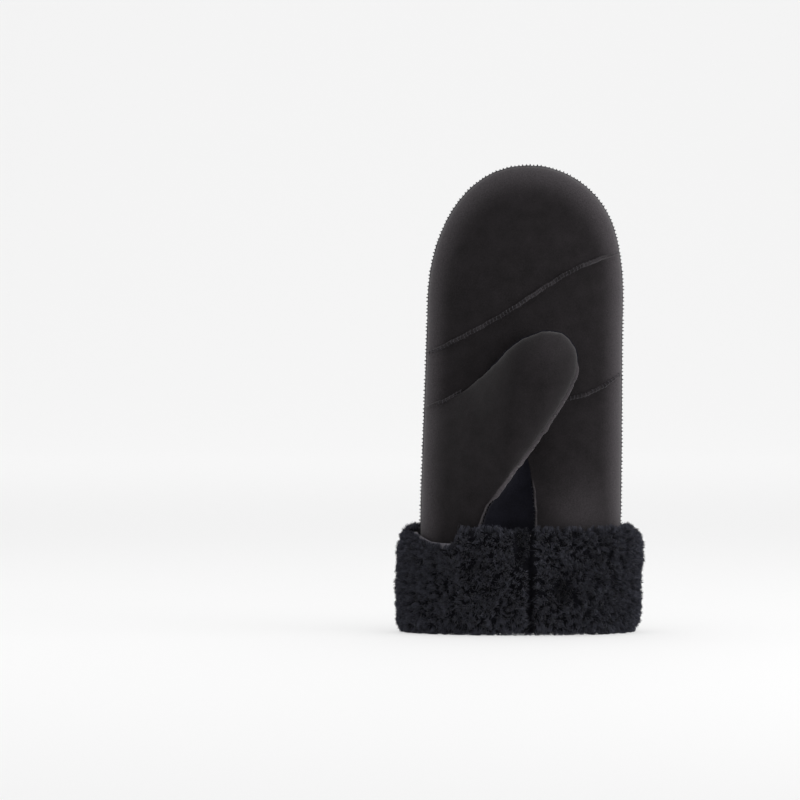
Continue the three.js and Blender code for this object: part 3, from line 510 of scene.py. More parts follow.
@dataclass(frozen=True)
class Finish:
    """A procedural material with a mottled colour and a fine relief."""

    name: str
    dark: str
    light: str
    roughness: float
    sheen: float = 0.0
    specular: float = 0.3
    coarse: float = 9.0
    fine: float = 0.7
    relief: float = 0.12
    edge_light: str | None = None
    edge_name: str = "edge"
    edge_share: float = 0.5

    def build(self) -> bpy.types.Material:
        """Makes the material.

        Returns:
            The material, with its nodes.
        """
        made = bpy.data.materials.new(self.name)
        made.use_nodes = True
        tree = made.node_tree
        tree.nodes.clear()
        coords = add_node(tree, "ShaderNodeTexCoord").outputs["Object"]
        coarse, fine = (
            add_node(
                tree,
                "ShaderNodeTexNoise",
                {"Scale": per_mm(size), "Detail": detail, "Roughness": 0.6},
                {"Vector": coords},
            ).outputs["Fac"]
            for size, detail in ((self.coarse, 3.0), (self.fine, 4.0))
        )
        blend = add_node(tree, "ShaderNodeMath", {1: 0.45}, {0: coarse}, operation="MULTIPLY")
        both = {0: fine, 2: blend.outputs[0]}
        grain = add_node(tree, "ShaderNodeMath", {1: 0.55}, both, operation="MULTIPLY_ADD")
        ramp = add_node(tree, "ShaderNodeValToRGB", links={"Fac": grain.outputs[0]})
        first, last = ramp.color_ramp.elements
        first.position, last.position = 0.35, 0.65
        first.color, last.color = srgb(self.dark), srgb(self.light)
        colour = ramp.outputs["Color"]
        if self.edge_light:
            colour = self.lighten(tree, colour, fine)
        depth = {"Strength": 1.0, "Distance": self.relief * MM}
        bump = add_node(tree, "ShaderNodeBump", depth, {"Height": fine})
        values = {
            "Roughness": self.roughness,
            "Sheen Weight": self.sheen,
            "Sheen Roughness": 0.45,
            "Specular IOR Level": self.specular,
        }
        links = {"Base Color": colour, "Normal": bump.outputs["Normal"]}
        shader = add_node(tree, "ShaderNodeBsdfPrincipled", values, links)
        add_node(tree, "ShaderNodeOutputMaterial", links={"Surface": shader.outputs["BSDF"]})
        return made

    def lighten(
        self, tree: bpy.types.NodeTree, colour: bpy.types.NodeSocket, grain: bpy.types.NodeSocket
    ) -> bpy.types.NodeSocket:
        """Mixes in the lighter colour that the piece's own attribute asks for.

        Args:
            tree: the material's node tree.
            colour: the colour so far.
            grain: fine noise that breaks the mix up.

        Returns:
            The mixed colour.
        """
        # The attribute carries painted rim light and lip highlight on the suede, and painted shade in the
        # wool's parting and hollows.
        lighter_share = add_node(tree, "ShaderNodeAttribute", attribute_name=self.edge_name).outputs["Fac"]
        most = {1: 2.0 * self.edge_share}
        broken = add_node(tree, "ShaderNodeMath", most, {0: grain}, operation="MULTIPLY")
        both = {0: lighter_share, 1: broken.outputs[0]}
        share = add_node(tree, "ShaderNodeMath", None, both, operation="MULTIPLY", use_clamp=True)
        links = {0: share.outputs[0], 6: colour}
        lighter = {7: srgb(self.edge_light)}
        return add_node(tree, "ShaderNodeMix", lighter, links, data_type="RGBA").outputs[2]


# Sheepskin suede, sanded on the flesh side and dyed charcoal; its lighter edge colour is painted rim light
# near the outline and painted highlight on the seam lips
SUEDE = Finish(
    "charcoal suede", "#141213", "#201d1f", 0.95, sheen=0.14, specular=0.1,
    edge_light="#494548", edge_share=0.7,
)
# The same suede inside the thumb's fold, painted darker as painted shade of the fold
SHADED = Finish(
    "suede with painted shade", "#0e0e13", "#18181f", 0.97, sheen=0.05, specular=0.05,
    edge_light="#2c2a2d", edge_share=0.7,
)
# Raw cut edge of sheepskin, greyer where the dye took less
RAW_EDGE = Finish("raw sheepskin edge", "#4a484d", "#77757c", 0.9, sheen=0.1, specular=0.1, fine=0.5)
# Waxed polyester thread, overcast by machine
THREAD = Finish(
    "dark sewing thread", "#29282c", "#434147", 0.75, sheen=0.1, specular=0.2,
    coarse=3.0, fine=0.3, relief=0.05,
)
# Shorn wool on the skin's other side, dyed with it
LINING = Finish(
    "shorn wool lining", "#0a0a0d", "#16161b", 1.0, sheen=0.05, specular=0.03,
    coarse=4.0, fine=1.2, relief=0.5,
)
# Dense clumped wool pile, dyed blue black, lighter towards its tips, and darker in the cuff's parting and
# hollows as painted shade
WOOL = Finish(
    "wool pile", "#131317", "#1e1f24", 0.95, sheen=0.1, specular=0.06,
    coarse=6.0, fine=1.5, relief=0.1, edge_light="#4c4d57", edge_name="tip", edge_share=0.9,
)
# Smooth split leather with a pigment finish
SMOOTH = Finish(
    "smooth leather patch", "#191d23", "#242930", 0.5, specular=0.4,
    coarse=5.0, fine=0.9, relief=0.08, edge_light="#323942", edge_share=0.5,
)


class Workshop:
    """Makes objects and gives them to the frame."""

    def __init__(self) -> None:
        """Starts with no materials made."""
        self.materials: dict[str, bpy.types.Material] = {}

    def material(self, finish: Finish) -> bpy.types.Material:
        """Returns the finish's material, made once."""
        if finish.name not in self.materials:
            self.materials[finish.name] = finish.build()
        return self.materials[finish.name]

    def give(
        self,
        name: str,
        mesh: bpy.types.Mesh,
        finishes: list[Finish],
        nodes: tuple[str, ...] = (),
    ) -> bpy.types.Object:
        """Puts a mesh into the scene as a piece of the object.

        Args:
            name: the piece's name.
            mesh: its mesh.
            finishes: its finishes, one for each material number.
            nodes: the solids that it stands for.

        Returns:
            The object.
        """
        for finish in finishes:
            mesh.materials.append(self.material(finish))
        mesh.polygons.foreach_set("use_smooth", np.ones(len(mesh.polygons), dtype=bool))
        mesh.update()
        piece = bpy.data.objects.new(name, mesh)
        bpy.context.scene.collection.objects.link(piece)
        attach(piece, "root")
        if nodes:
            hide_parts(*nodes)
        triangles = int(sum(len(p.vertices) - 2 for p in mesh.polygons))
        LOG.info("%s: %d triangles", name, triangles)
        return piece


WORKSHOP = Workshop()


def grid_in(bm: bmesh.types.BMesh, points: Array, flipped: bool = False) -> list[bmesh.types.BMFace]:
    """Adds a grid of points to a mesh.

    Args:
        bm: the mesh in making.
        points: rows of columns of points, in metres.
        flipped: whether its faces are turned over.

    Returns:
        The new faces.
    """
    rows, columns = points.shape[:2]
    made = bmesh.ops.create_grid(bm, x_segments=columns - 1, y_segments=rows - 1, size=0.5)["verts"]
    for vertex in made:
        column = round((vertex.co.x + 0.5) * (columns - 1))
        row = round((vertex.co.y + 0.5) * (rows - 1))
        vertex.co = points[row, column]
    faces = list({face for vertex in made for face in vertex.link_faces})
    if flipped:
        bmesh.ops.reverse_faces(bm, faces=faces)
    return faces


def mesh_of(bm: bmesh.types.BMesh, name: str) -> bpy.types.Mesh:
    """Turns a mesh in making into a mesh, and frees it."""
    mesh = bpy.data.meshes.new(name)
    bm.to_mesh(mesh)
    bm.free()
    return mesh


def walled(name: str, outer: Array, inner: Array, light: Array, lining: int = 0) -> bpy.types.Mesh:
    """Makes a closed wall from two grids of points, joined along their borders.

    Args:
        name: the mesh's name.
        outer: outer points, in millimetres.
        inner: inner points, in millimetres.
        light: how light each outer point is.
        lining: material number of the inner faces.

    Returns:
        The mesh.
    """
    bm = bmesh.new()
    layer = bm.verts.layers.float.new("edge")
    grid_in(bm, to_metres(outer))
    for vertex, value in zip(bm.verts, light.ravel()):
        vertex[layer] = float(value)
    for face in grid_in(bm, to_metres(inner), flipped=True):
        face.material_index = lining
    bmesh.ops.bridge_loops(bm, edges=[edge for edge in bm.edges if edge.is_boundary])
    bmesh.ops.recalc_face_normals(bm, faces=bm.faces)
    return mesh_of(bm, name)


def closed(name: str, points: Array) -> bpy.types.Mesh:
    """Makes a closed ring from a grid of points whose ends meet.

    Args:
        name: the mesh's name.
        points: rows of sections, in millimetres.

    Returns:
        The mesh.
    """
    bm = bmesh.new()
    grid_in(bm, to_metres(points))
    bmesh.ops.remove_doubles(bm, verts=bm.verts, dist=1e-6)
    bmesh.ops.recalc_face_normals(bm, faces=bm.faces)
    return mesh_of(bm, name)


def round_sections(section: Array, columns: int) -> tuple[Array, Array, Array]:
    """Repeats a section at even angles round the hand.

    Args:
        section: distances from the leather and heights.
        columns: number of steps round.

    Returns:
        Angles, distances and heights.
    """
    angle = np.linspace(0.0, 2.0 * math.pi, columns + 1)
    turn, out = np.meshgrid(angle, section[:, 0], indexing="ij")
    return turn, out, np.broadcast_to(section[:, 1], out.shape).copy()


@dataclass
class Panel:
    """A leather panel between four edges of the pattern, with its sewn edges turned out as lips."""

    name: str
    bottom: Edge
    top: Edge
    left: Edge
    right: Edge
    surface: Callable[[Array, Array, Array], Array]
    side: Side = Side.PALM
    lips: dict[str, Edge] = field(default_factory=dict)
    turns: dict[str, Callable[[Array, Array, Array], Array]] = field(default_factory=dict)
    light: dict[str, Edge] = field(default_factory=dict)
    finish: Finish = SUEDE
    ruled: bool = False
    height_field: bool = True
    spacing: float = 1.7
    wall: float = 2.4
    overlap: float = 0.06
    lip_height: float = 1.6
    lip_width: float = 0.42
    lip_fall: float = 0.8
    turn_near: float = 1.2
    turn_far: float = 3.0
    swell: float = 1.0
    edge_lines: tuple[float, ...] = (0.08, 0.35, 0.65, 0.95, 1.25, 1.6, 2.1, 3.0, 4.3)

    def inside(self, u: Array, v: Array) -> Array:
        """Returns places inside the four edges."""
        a, b = u[..., None], v[..., None]
        if self.ruled:
            return mix(self.left(v), self.right(v), a)
        places = self.bottom(u) * (1 - b) + self.top(u) * b + self.left(v) * (1 - a) + self.right(v) * a
        ends = np.array([0.0, 1.0])
        low, high = self.bottom(ends), self.top(ends)
        places = places - low[0] * (1 - a) * (1 - b) - low[1] * a * (1 - b)
        return places - high[0] * (1 - a) * b - high[1] * a * b

    def at(self, u: Array, v: Array) -> Array:
        """Returns points of the surface."""
        return self.surface(self.inside(u, v), u, v)

    def cuts(self, line: Callable[[Array], Array], steps: int) -> Array:
        """Returns the shares of a line at which the grid cuts it.

        Args:
            line: points at shares.
            steps: number of inner steps.
        """
        share = np.linspace(0.0, 1.0, 500)
        reach = lengths_of(line(share))
        scale = min(1.0, reach[-1] / (2.6 * self.edge_lines[-1]))
        first = np.array(self.edge_lines) * scale
        inner = np.linspace(first[-1], reach[-1] - first[-1], steps + 1)[1:-1]
        return np.interp(np.concatenate([first, inner, reach[-1] - first[::-1]]), reach, share)

    def steps(self, ends: list[Array]) -> int:
        """Returns the number of steps for the longer of two edges."""
        longest = max(np.linalg.norm(np.diff(points, axis=0), axis=1).sum() for points in ends)
        return max(4, int(longest / self.spacing))

    def grids(self) -> tuple[Array, Array, Array]:
        """Works the panel out.

        Returns:
            Its outer points, its inner points and how close each point is to an edge.
        """
        share = np.linspace(0.0, 1.0, 60)
        zero, one = np.zeros(60), np.ones(60)
        across = self.steps([self.at(share, zero + 0.5)])
        up = self.steps([self.at(zero, share), self.at(one, share)])
        def across_at(height: float) -> Array:
            """Returns the shares at which a line across is cut."""
            return self.cuts(lambda s: self.at(s, np.full_like(s, height)), across)

        def up_at(place: float) -> Array:
            """Returns the shares at which a line up is cut."""
            return self.cuts(lambda s: self.at(np.full_like(s, place), s), up)

        u = np.stack([across_at(height) for height in up_at(0.5)])
        v = np.stack([up_at(place) for place in across_at(0.5)], axis=1)
        base = self.at(u, v)
        return self.walls(base, self.outward(base, u, v))

    def outward(self, base: Array, u: Array, v: Array) -> Array:
        """Returns the surface's outward directions.

        Args:
            base: points of the surface.
            u: their shares across.
            v: their shares up.
        """
        if not self.height_field:
            return unit(np.cross(np.gradient(base, axis=1), np.gradient(base, axis=0)))
        places = base[..., [0, 2]]
        step = 0.06
        slopes = [
            (self.surface(places + move, u, v) - self.surface(places - move, u, v))[..., 1] / (2.0 * step)
            for move in np.eye(2) * step
        ]
        return self.side.value * unit(np.stack([-slopes[0], np.ones_like(slopes[0]), -slopes[1]], axis=-1))

    def walls(self, base: Array, normals: Array) -> tuple[Array, Array, Array]:
        """Raises the lips and sets the wall inwards.

        Args:
            base: points of the surface.
            normals: their outward directions.

        Returns:
            Outer points, inner points and how light each outer point is painted: painted highlight on the
            lips and painted rim light near the outline.
        """
        along = np.linspace(0.0, 1.0, 241)
        zero, one = np.zeros(241), np.ones(241)
        lines = {
            "left": self.at(zero, along), "right": self.at(one, along),
            "bottom": self.at(along, zero), "top": self.at(along, one),
        }
        rise, most, ridge = (np.zeros(base.shape[:2]) for _ in range(3))
        pull = np.zeros_like(base)
        plain = HAND.normal(base)
        faint = HAND.lumps.at(base[..., 0] + 50.0, base[..., 2], 5.5)
        dull = 0.65 * np.clip(0.65 + 0.75 * faint, 0.1, 1.0)
        for name, line in lines.items():
            if np.linalg.norm(np.diff(line, axis=0), axis=1).sum() < 1.0:
                continue
            away, share = nearest(base, line)
            weight = 1.0 - smooth(away, self.turn_near, self.turn_far)
            turn = self.turns.get(name)
            pull += (turn(base, share, normals) if turn else plain) * weight[..., None]
            most = np.maximum(most, weight)
            if name in self.lips:
                lip = self.lips[name](share)
                fall = smooth(away, self.lip_width, self.lip_width + self.lip_fall)
                rise = np.maximum(rise, lip * (1.0 - fall))
                # Painted highlight: the raised lips are painted lighter, unevenly along them.
                lit = 1.0 - smooth(away, self.lip_width + 0.2, self.lip_width + 1.2)
                shine = self.light[name](share) if name in self.light else dull
                ridge = np.maximum(ridge, np.minimum(1.0, 1.8 * lip) * lit * shine)
        direction = unit(normals * (1.0 - most[..., None]) + pull)
        ripple = 1.0 + 0.28 * HAND.lumps.at(base[..., 0], base[..., 2], 3.4)
        room = HAND.room(base[..., [0, 2]])
        base = base + plain * (self.swell * HAND.swell(base))[..., None]
        outer = base + direction * (rise * ripple * self.lip_height)[..., None]
        inner = base - direction * self.wall
        for grid in (outer, inner):
            deep = np.maximum(0.0, self.side.value * grid[..., 1]) - self.overlap
            grid[..., 1] = self.side.value * deep
        # Painted rim light: the suede gets lighter towards the outline, where it turns away, and in the
        # painted light spots.
        lighter_share = 0.85 * (1.0 - smooth(room, 0.0, 0.5)) ** 1.4
        for x, z, reach, brightening in HAND.painted_light_spots if self.side is Side.PALM else ():
            near = np.hypot(base[..., 0] - x, base[..., 2] - z) / reach
            lighter_share = np.maximum(lighter_share, brightening * np.exp(-near * near))
        return outer, inner, np.maximum(ridge, lighter_share)

    def build(self) -> bpy.types.Object:
        """Makes the panel's piece, in place of its solid."""
        mesh = walled(self.name, *self.grids(), lining=1)
        finishes = [self.finish, LINING]
        return WORKSHOP.give(f"leather_{self.name}", mesh, finishes, (self.name,))


def sewn(edge: Edge) -> Edge:
    """Returns an uneven lip, which sinks where its seam meets the outline."""
    def lip(share: Array) -> Array:
        """Returns the lip's height at shares."""
        places = edge(share)
        uneven = 0.72 + 0.3 * HAND.lumps.at(places[..., 0], places[..., 1] + 70.0, 4.5)
        return uneven * mix(0.3, 1.0, smooth(HAND.room(places), 0.0, 0.25))

    return lip


def above_cuff(edge: Edge) -> Edge:
    """Returns a lip that stops where the cuff covers the seam."""
    return lambda share: smooth(edge(share)[..., 1], HAND.cuff_top - 6.0, HAND.cuff_top)


def rim(edge: Edge) -> Edge:
    """Returns the lower lip of the outline, which stops where the cuff covers it."""
    return lambda share: 0.3 * above_cuff(edge)(share)


def sewn_above_cuff(edge: Edge) -> Edge:
    """Returns an uneven lip that stops where the cuff covers the seam."""
    return lambda share: sewn(edge)(share) * above_cuff(edge)(share)


def lower_lip(edge: Edge) -> Edge:
    """Returns a lip that sinks where the thumb hides the lower seam."""
    def lip(share: Array) -> Array:
        """Returns the lip's height at shares."""
        x = edge(share)[..., 0]
        before = 1.0 - smooth(x, HAND.hidden_from - 6.0, HAND.hidden_from)
        return sewn(edge)(share) * (before + smooth(x, HAND.exit_x - 3.0, HAND.exit_x + 3.0))

    return lip


def heel_lip(edge: Edge) -> Edge:
    """Returns the lip of the short ridge beside the thumb."""
    return lambda share: above_cuff(edge)(share) * (1.0 - smooth(edge(share)[..., 1], 81.0, 88.0))


def straight(start: Array, end: Array) -> Edge:
    """Returns a straight edge between two places."""
    return lambda share: mix(start, end, np.asarray(share)[..., None])


def hem_between(left: Edge, right: Edge) -> Edge:
    """Returns the straight hem between the feet of two edges."""
    zero = np.array(0.0)
    return straight(left(zero), right(zero))


class Shell:
    """The hand and thumb, sewn from eight panels."""

    def __init__(self) -> None:
        """Works out where the seams meet the outline."""
        hand = HAND
        self.lower_left = hand.outline_share(hand.lower_left[0][1], -1)
        self.lower_right = hand.outline_share(hand.lower_right[-1][1], 1)
        self.upper_left = hand.outline_share(hand.upper_rows[0][1], -1)
        self.upper_right = hand.outline_share(hand.upper_rows[-1][1], 1)
        self.thumb_top = hand.outline_share(hand.back_thumb_rows[-1][1], -1)
        self.outer_top = hand.outline_share(hand.back_outer_rows[-1][1], 1)

    def palm_surface(self, places: Array, u: Array, v: Array) -> Array:
        """Returns points of the palm."""
        return HAND.surface(Side.PALM, places)

    def back_surface(self, places: Array, u: Array, v: Array) -> Array:
        """Returns points of the back."""
        return HAND.surface(Side.BACK, places)

    def palm(self) -> list[Panel]:
        """Returns the palm's three panels."""
        hand = HAND
        corners = (hand.outline_share(0.86, -1), hand.outline_share(0.9, 1))
        upper = hand.upper.part()
        lower = hand.lower.part()
        heel_top = hand.lower.part(hand.crotch_share, 1.0)
        heel_left = hand.ridge.part()
        heel_right = hand.outline_part(1.0, self.lower_right)
        tip_edges = {
            "top": hand.outline_part(*corners), "left": hand.outline_part(self.upper_left, corners[0]),
            "right": hand.outline_part(self.upper_right, corners[1]),
        }
        rims = {name: rim(edge) for name, edge in tip_edges.items()}
        lips = {"bottom": sewn(upper), **rims}
        tip = Panel("palm_tip", bottom=upper, surface=self.palm_surface, lips=lips, **tip_edges)
        sides = {
            "left": hand.outline_part(self.lower_left, self.upper_left),
            "right": hand.outline_part(self.lower_right, self.upper_right),
        }
        rims = {name: rim(edge) for name, edge in sides.items()}
        lips = {"bottom": lower_lip(lower), "top": sewn(upper), **rims}
        band = Panel("palm_band", bottom=lower, top=upper, surface=self.palm_surface, lips=lips, **sides)
        heel = Panel(
            "palm_heel",
            hem_between(heel_left, heel_right),
            heel_top,
            heel_left,
            heel_right,
            self.palm_surface,
            lips={"top": lower_lip(heel_top), "left": heel_lip(heel_left), "right": rim(heel_right)},
        )
        return [tip, band, heel]

    def thumb(self) -> list[Panel]:
        """Returns the thumb's two panels."""
        hand = HAND
        corner, joint, root = 0.4, 0.55, 0.2

        def left(share: Array) -> Array:
            """Returns places up the outline, along the lower seam and over the fold to the tip."""
            share = np.asarray(share, dtype=float)
            outline = hand.outline(self.lower_left * np.clip(share / corner, 0.0, 1.0))
            seam = hand.lower.at(hand.joint_share * np.clip((share - corner) / (joint - corner), 0.0, 1.0))
            fold = hand.thumb.at(mix(1.0, hand.tip_share, np.clip((share - joint) / (1.0 - joint), 0.0, 1.0)))
            above = np.where((share < joint)[..., None], seam, fold)
            return np.where((share < corner)[..., None], outline, above)

        def on_edge(share: Array) -> Array:
            """Returns shares of the thumb's whole edge."""
            return np.interp(share, [0.0, root, 1.0], [0.0, hand.root_share, hand.tip_share])

        def right(share: Array) -> Array:
            """Returns places up the thumb's raw edge to the tip."""
            return hand.thumb.at(on_edge(share))

        def left_lip(share: Array) -> Array:
            """Returns the lip of the outline and of the lower seam."""
            low = np.where(share < corner, rim(left)(share), lower_lip(left)(share))
            return np.where(share < joint, low, 0.0)

        def left_turn(points: Array, share: Array, normals: Array) -> Array:
            """Returns the lips' direction, and sideways along the fold."""
            run = left(np.minimum(1.0, share + 0.01)) - left(np.maximum(0.0, share - 0.01))
            sideways = unit(np.stack([-run[..., 1], np.zeros_like(share), run[..., 0]], axis=-1))
            return np.where((share < joint)[..., None], hand.normal(points), sideways)

        def glint(share: Array) -> Array:
            """Returns how light the raw edge's painted highlight is, most just above the gusset."""
            return 0.95 + 0.9 * np.exp(-(((right(share)[..., 1] - 88.0) / 13.0) ** 2))

        ends = np.array(1.0)
        front = Panel(
            "thumb_front",
            hem_between(left, right),
            straight(left(ends), right(ends)),
            left,
            right,
            lambda places, u, v: hand.thumb_front(places),
            ruled=True,
            light={"right": glint},
            lips={"left": left_lip, "right": lambda share: self.raw_lip(right, share, on_edge(share))},
            turns={
                "left": left_turn,
                "right": lambda points, share, normals: hand.thumb_turn(points, share, right),
            },
        )
        return [front, self.gusset()]

    def raw_lip(self, edge: Edge, share: Array, along: Array) -> Array:
        """Returns the lip of the thumb's raw edge, which ends at the tip."""
        return above_cuff(edge)(share) * (1.0 - smooth(along, *HAND.raw_end))

    def gusset(self) -> Panel:
        """Returns the thumb's inner side."""
        hand = HAND
        edge_end, crotch_end, first = 0.94, 0.9, 4.0 / 8.0
        ridge = hand.ridge.part()
        hidden = hand.lower.part(hand.crotch_share, hand.joint_share)

        def crotch(share: Array) -> Array:
            """Returns places along the ridge and then the hidden seam."""
            share = np.asarray(share)[..., None] * crotch_end
            part = share[..., 0]
            return np.where(share < first, ridge(part / first), hidden((part - first) / (1.0 - first)))

        def edge(share: Array) -> Array:
            """Returns places just inside the thumb's edge."""
            share = np.asarray(share, dtype=float)
            place = hand.thumb.at(share * edge_end)
            run = unit(hand.thumb.at((share + 0.01) * edge_end) - place)
            return place + hand.gusset_gap * right_of(run)

        def crotch_turn(points: Array, share: Array, normals: Array) -> Array:
            """Returns the direction of the crotch's edge."""
            folded = smooth(edge(share)[..., 0] - crotch(share)[..., 0], -4.0 * hand.recess, 0.0)
            return unit(mix(hand.normal(points), normals, folded[..., None]))

        ends = np.array(1.0)
        return Panel(
            "thumb_inner",
            hem_between(edge, crotch),
            straight(edge(ends), crotch(ends)),
            edge,
            crotch,
            lambda places, u, v: hand.thumb_inner(places, u, v, (edge, crotch)),
            lips={"left": lambda share: 0.35 * self.raw_lip(edge, share, share * edge_end)},
            turns={
                "left": lambda points, share, normals: hand.thumb_turn(points, share, edge),
                "right": crotch_turn,
            },
            finish=SHADED,
            height_field=False,
            wall=1.6,
            swell=0.0,
        )

    def back(self) -> list[Panel]:
        """Returns the back's three panels."""
        hand = HAND
        thumb_corner, outer_corner = hand.outline_share(0.78, -1), hand.outline_share(0.82, 1)
        thumb_seam, outer_seam = hand.back_thumb.part(), hand.back_outer.part()
        thumb_side, outer_side = hand.outline_part(0.0, thumb_corner), hand.outline_part(1.0, outer_corner)
        shapes = (
            ("back_middle", outer_seam, thumb_seam, hand.outline_part(self.outer_top, self.thumb_top)),
            ("back_thumb_side", thumb_seam, thumb_side, hand.outline_part(self.thumb_top, thumb_corner)),
            ("back_outer_side", outer_side, outer_seam, hand.outline_part(outer_corner, self.outer_top)),
        )
        return [
            Panel(
                name, hem_between(left, right), top, left, right, self.back_surface, Side.BACK,
                lips={
                    "top": rim(top), "left": (rim if name == "back_outer_side" else sewn_above_cuff)(left),
                    "right": (rim if name == "back_thumb_side" else sewn_above_cuff)(right),
                },
            )
            for name, left, right, top in shapes
        ]

    def build(self) -> None:
        """Makes all the panels."""
        for panel in [*self.palm(), *self.thumb(), *self.back()]:
            panel.build()


def arrays_to_mesh(name: str, points: Array, quads: Array, triangles: Array | None = None) -> bpy.types.Mesh:
    """Joins many small things into one mesh from arrays.

    Args:
        name: the mesh's name.
        points: all the points, in metres.
        quads: point numbers of the four-sided faces.
        triangles: point numbers of the three-sided faces.

    Returns:
        The mesh.
    """
    faces = quads.tolist() + ([] if triangles is None else triangles.tolist())
    mesh = bpy.data.meshes.new(name)
    mesh.from_pydata(points.tolist(), [], faces)
    return mesh


@dataclass
class Stitches:
    """Overcast stitches: loops of thread laid over a ridge, slanting along it."""

    pitch: float = 2.1
    radius: float = 0.17
    reach: float = 1.05
    height: float = 1.75
    slant: float = 0.9
    points: int = 7
    sides: int = 6

    def run(self, base: Array, out: Array) -> tuple[Array, Array]:
        """Makes the loops along one seam.

        Args:
            base: points along the seam.
            out: directions in which its ridge stands.

        Returns:
            Points and quads of the loops.
        """
        length = lengths_of(base)
        count = max(2, int(length[-1] / self.pitch))
        random = np.random.default_rng(count)
        place = (np.arange(count) + 0.5 + random.uniform(-0.12, 0.12, count)) * length[-1] / count
        def read(table: Array) -> Array:
            """Returns the table's rows at the loops' places."""
            return np.stack([np.interp(place, length, table[:, k]) for k in range(3)], axis=-1)

        foot, up = read(base), unit(read(out))
        ahead = unit(read(np.gradient(base, axis=0)))
        across = unit(np.cross(ahead, up))
        angle = np.linspace(-0.12, 1.12, self.points) * math.pi
        size = random.uniform(0.9, 1.1, (count, 1, 1))
        sweep = np.sign(np.sin(angle)) * np.abs(np.sin(angle)) ** 0.6
        path = (
            foot[:, None]
            + across[:, None] * (self.reach * np.cos(angle))[None, :, None] * size
            + up[:, None] * (self.height * sweep)[None, :, None] * size
            + ahead[:, None] * (self.slant * np.linspace(-0.5, 0.5, self.points))[None, :, None]
        )
        return self.tubes(path)

    def tubes(self, path: Array) -> tuple[Array, Array]:
        """Puts a round section along each path.

        Args:
            path: things by points by three.

        Returns:
            Points and quads.
        """
        run = unit(np.gradient(path, axis=1))
        side = unit(np.cross(run, unit(np.roll(run, 1, axis=-1) + 0.3)))
        top = np.cross(run, side)
        turn = np.linspace(0.0, 2.0 * math.pi, self.sides, endpoint=False)
        thin = np.ones(path.shape[1])
        thin[[0, -1]] = 0.35
        cosine, sine = np.cos(turn)[None, None, :, None], np.sin(turn)[None, None, :, None]
        ring = side[:, :, None] * cosine + top[:, :, None] * sine
        points = path[:, :, None] + ring * (self.radius * thin)[None, :, None, None]
        things, along, around = points.shape[:3]
        number = np.arange(things * along * around).reshape(things, along, around)
        here, beside = number, np.roll(number, -1, axis=2)
        quads = np.stack([here[:, :-1], beside[:, :-1], beside[:, 1:], here[:, 1:]], axis=-1).reshape(-1, 4)
        return points.reshape(-1, 3), quads


class Sewing:
    """All the overcast seams of the mitten."""

    def __init__(self) -> None:
        """Sets out the three sizes of stitch."""
        self.outline = Stitches(radius=0.22, reach=1.2, height=1.85, slant=1.1)
        self.face = Stitches()
        self.raw = Stitches(radius=0.13, reach=0.7, height=1.65, slant=0.7)

    def build(self) -> None:
        """Makes one piece of all the stitches."""
        parts, faces, count = [], [], 0
        for kind, base, out in self.seams():
            points, quads = kind.run(base, out)
            parts.append(points)
            faces.append(quads + count)
            count += len(points)
        mesh = arrays_to_mesh("seam_stitches", to_metres(np.concatenate(parts)), np.concatenate(faces))
        WORKSHOP.give("seam_stitches", mesh, [THREAD])

    def seams(self) -> list[tuple[Stitches, Array, Array]]:
        """Returns the stitch, the line and the directions of every overcast seam that shows."""
        hand = HAND
        share = np.linspace(0.0, 1.0, 400)
        start = hand.cuff_top - 2.0
        low = hand.outline_share(start / hand.top, -1)
        outline = hand.outline(mix(low, 1.0 - low, share))
        flat = np.stack([outline[:, 0], np.zeros(400), outline[:, 1]], axis=-1)
        out = hand.normal(flat - np.array([0.0, 1e-6, 0.0]))
        runs = [(self.outline, flat + out * (hand.swell(flat) - hand.swell_most)[:, None], out)]
        plain = [
            (Side.PALM, hand.upper.part(0.01, 0.99)),
            (Side.PALM, hand.lower.part(0.02, hand.joint_share * 0.86)),
            (Side.PALM, hand.lower.part(self.exit_share() + 0.01, 0.985)),
            (Side.BACK, hand.back_thumb.part(self.heights(hand.back_thumb, start)[0], 0.985)),
            (Side.BACK, hand.back_outer.part(self.heights(hand.back_outer, start)[0], 0.985)),
        ]
        for side, edge in plain:
            base = hand.surface(side, edge(share))
            runs.append((self.face, base, hand.normal(base)))
        base = hand.surface(Side.PALM, hand.ridge.part(*self.heights(hand.ridge, start, 84.0))(share))
        runs.append((self.raw, base, hand.normal(base)))
        along = mix(self.heights(hand.thumb, start)[0], hand.raw_end[0], share)
        base = hand.thumb_front(hand.thumb.at(along))
        runs.append((self.raw, base, hand.thumb_turn(base, along, hand.thumb.part())))
        return runs

    def exit_share(self) -> float:
        """Returns the share at which the lower seam comes out from behind the thumb."""
        shares = np.linspace(HAND.crotch_share, 1.0, 400)
        return float(shares[np.argmax(HAND.lower.at(shares)[:, 0] > HAND.exit_x)])

    def heights(self, seam: Seam, *levels: float) -> list[float]:
        """Returns the shares at which a seam first passes heights."""
        shares = np.linspace(0.0, 1.0, 800)
        return [float(shares[np.argmax(seam.at(shares)[:, 1] >= level)]) for level in levels]


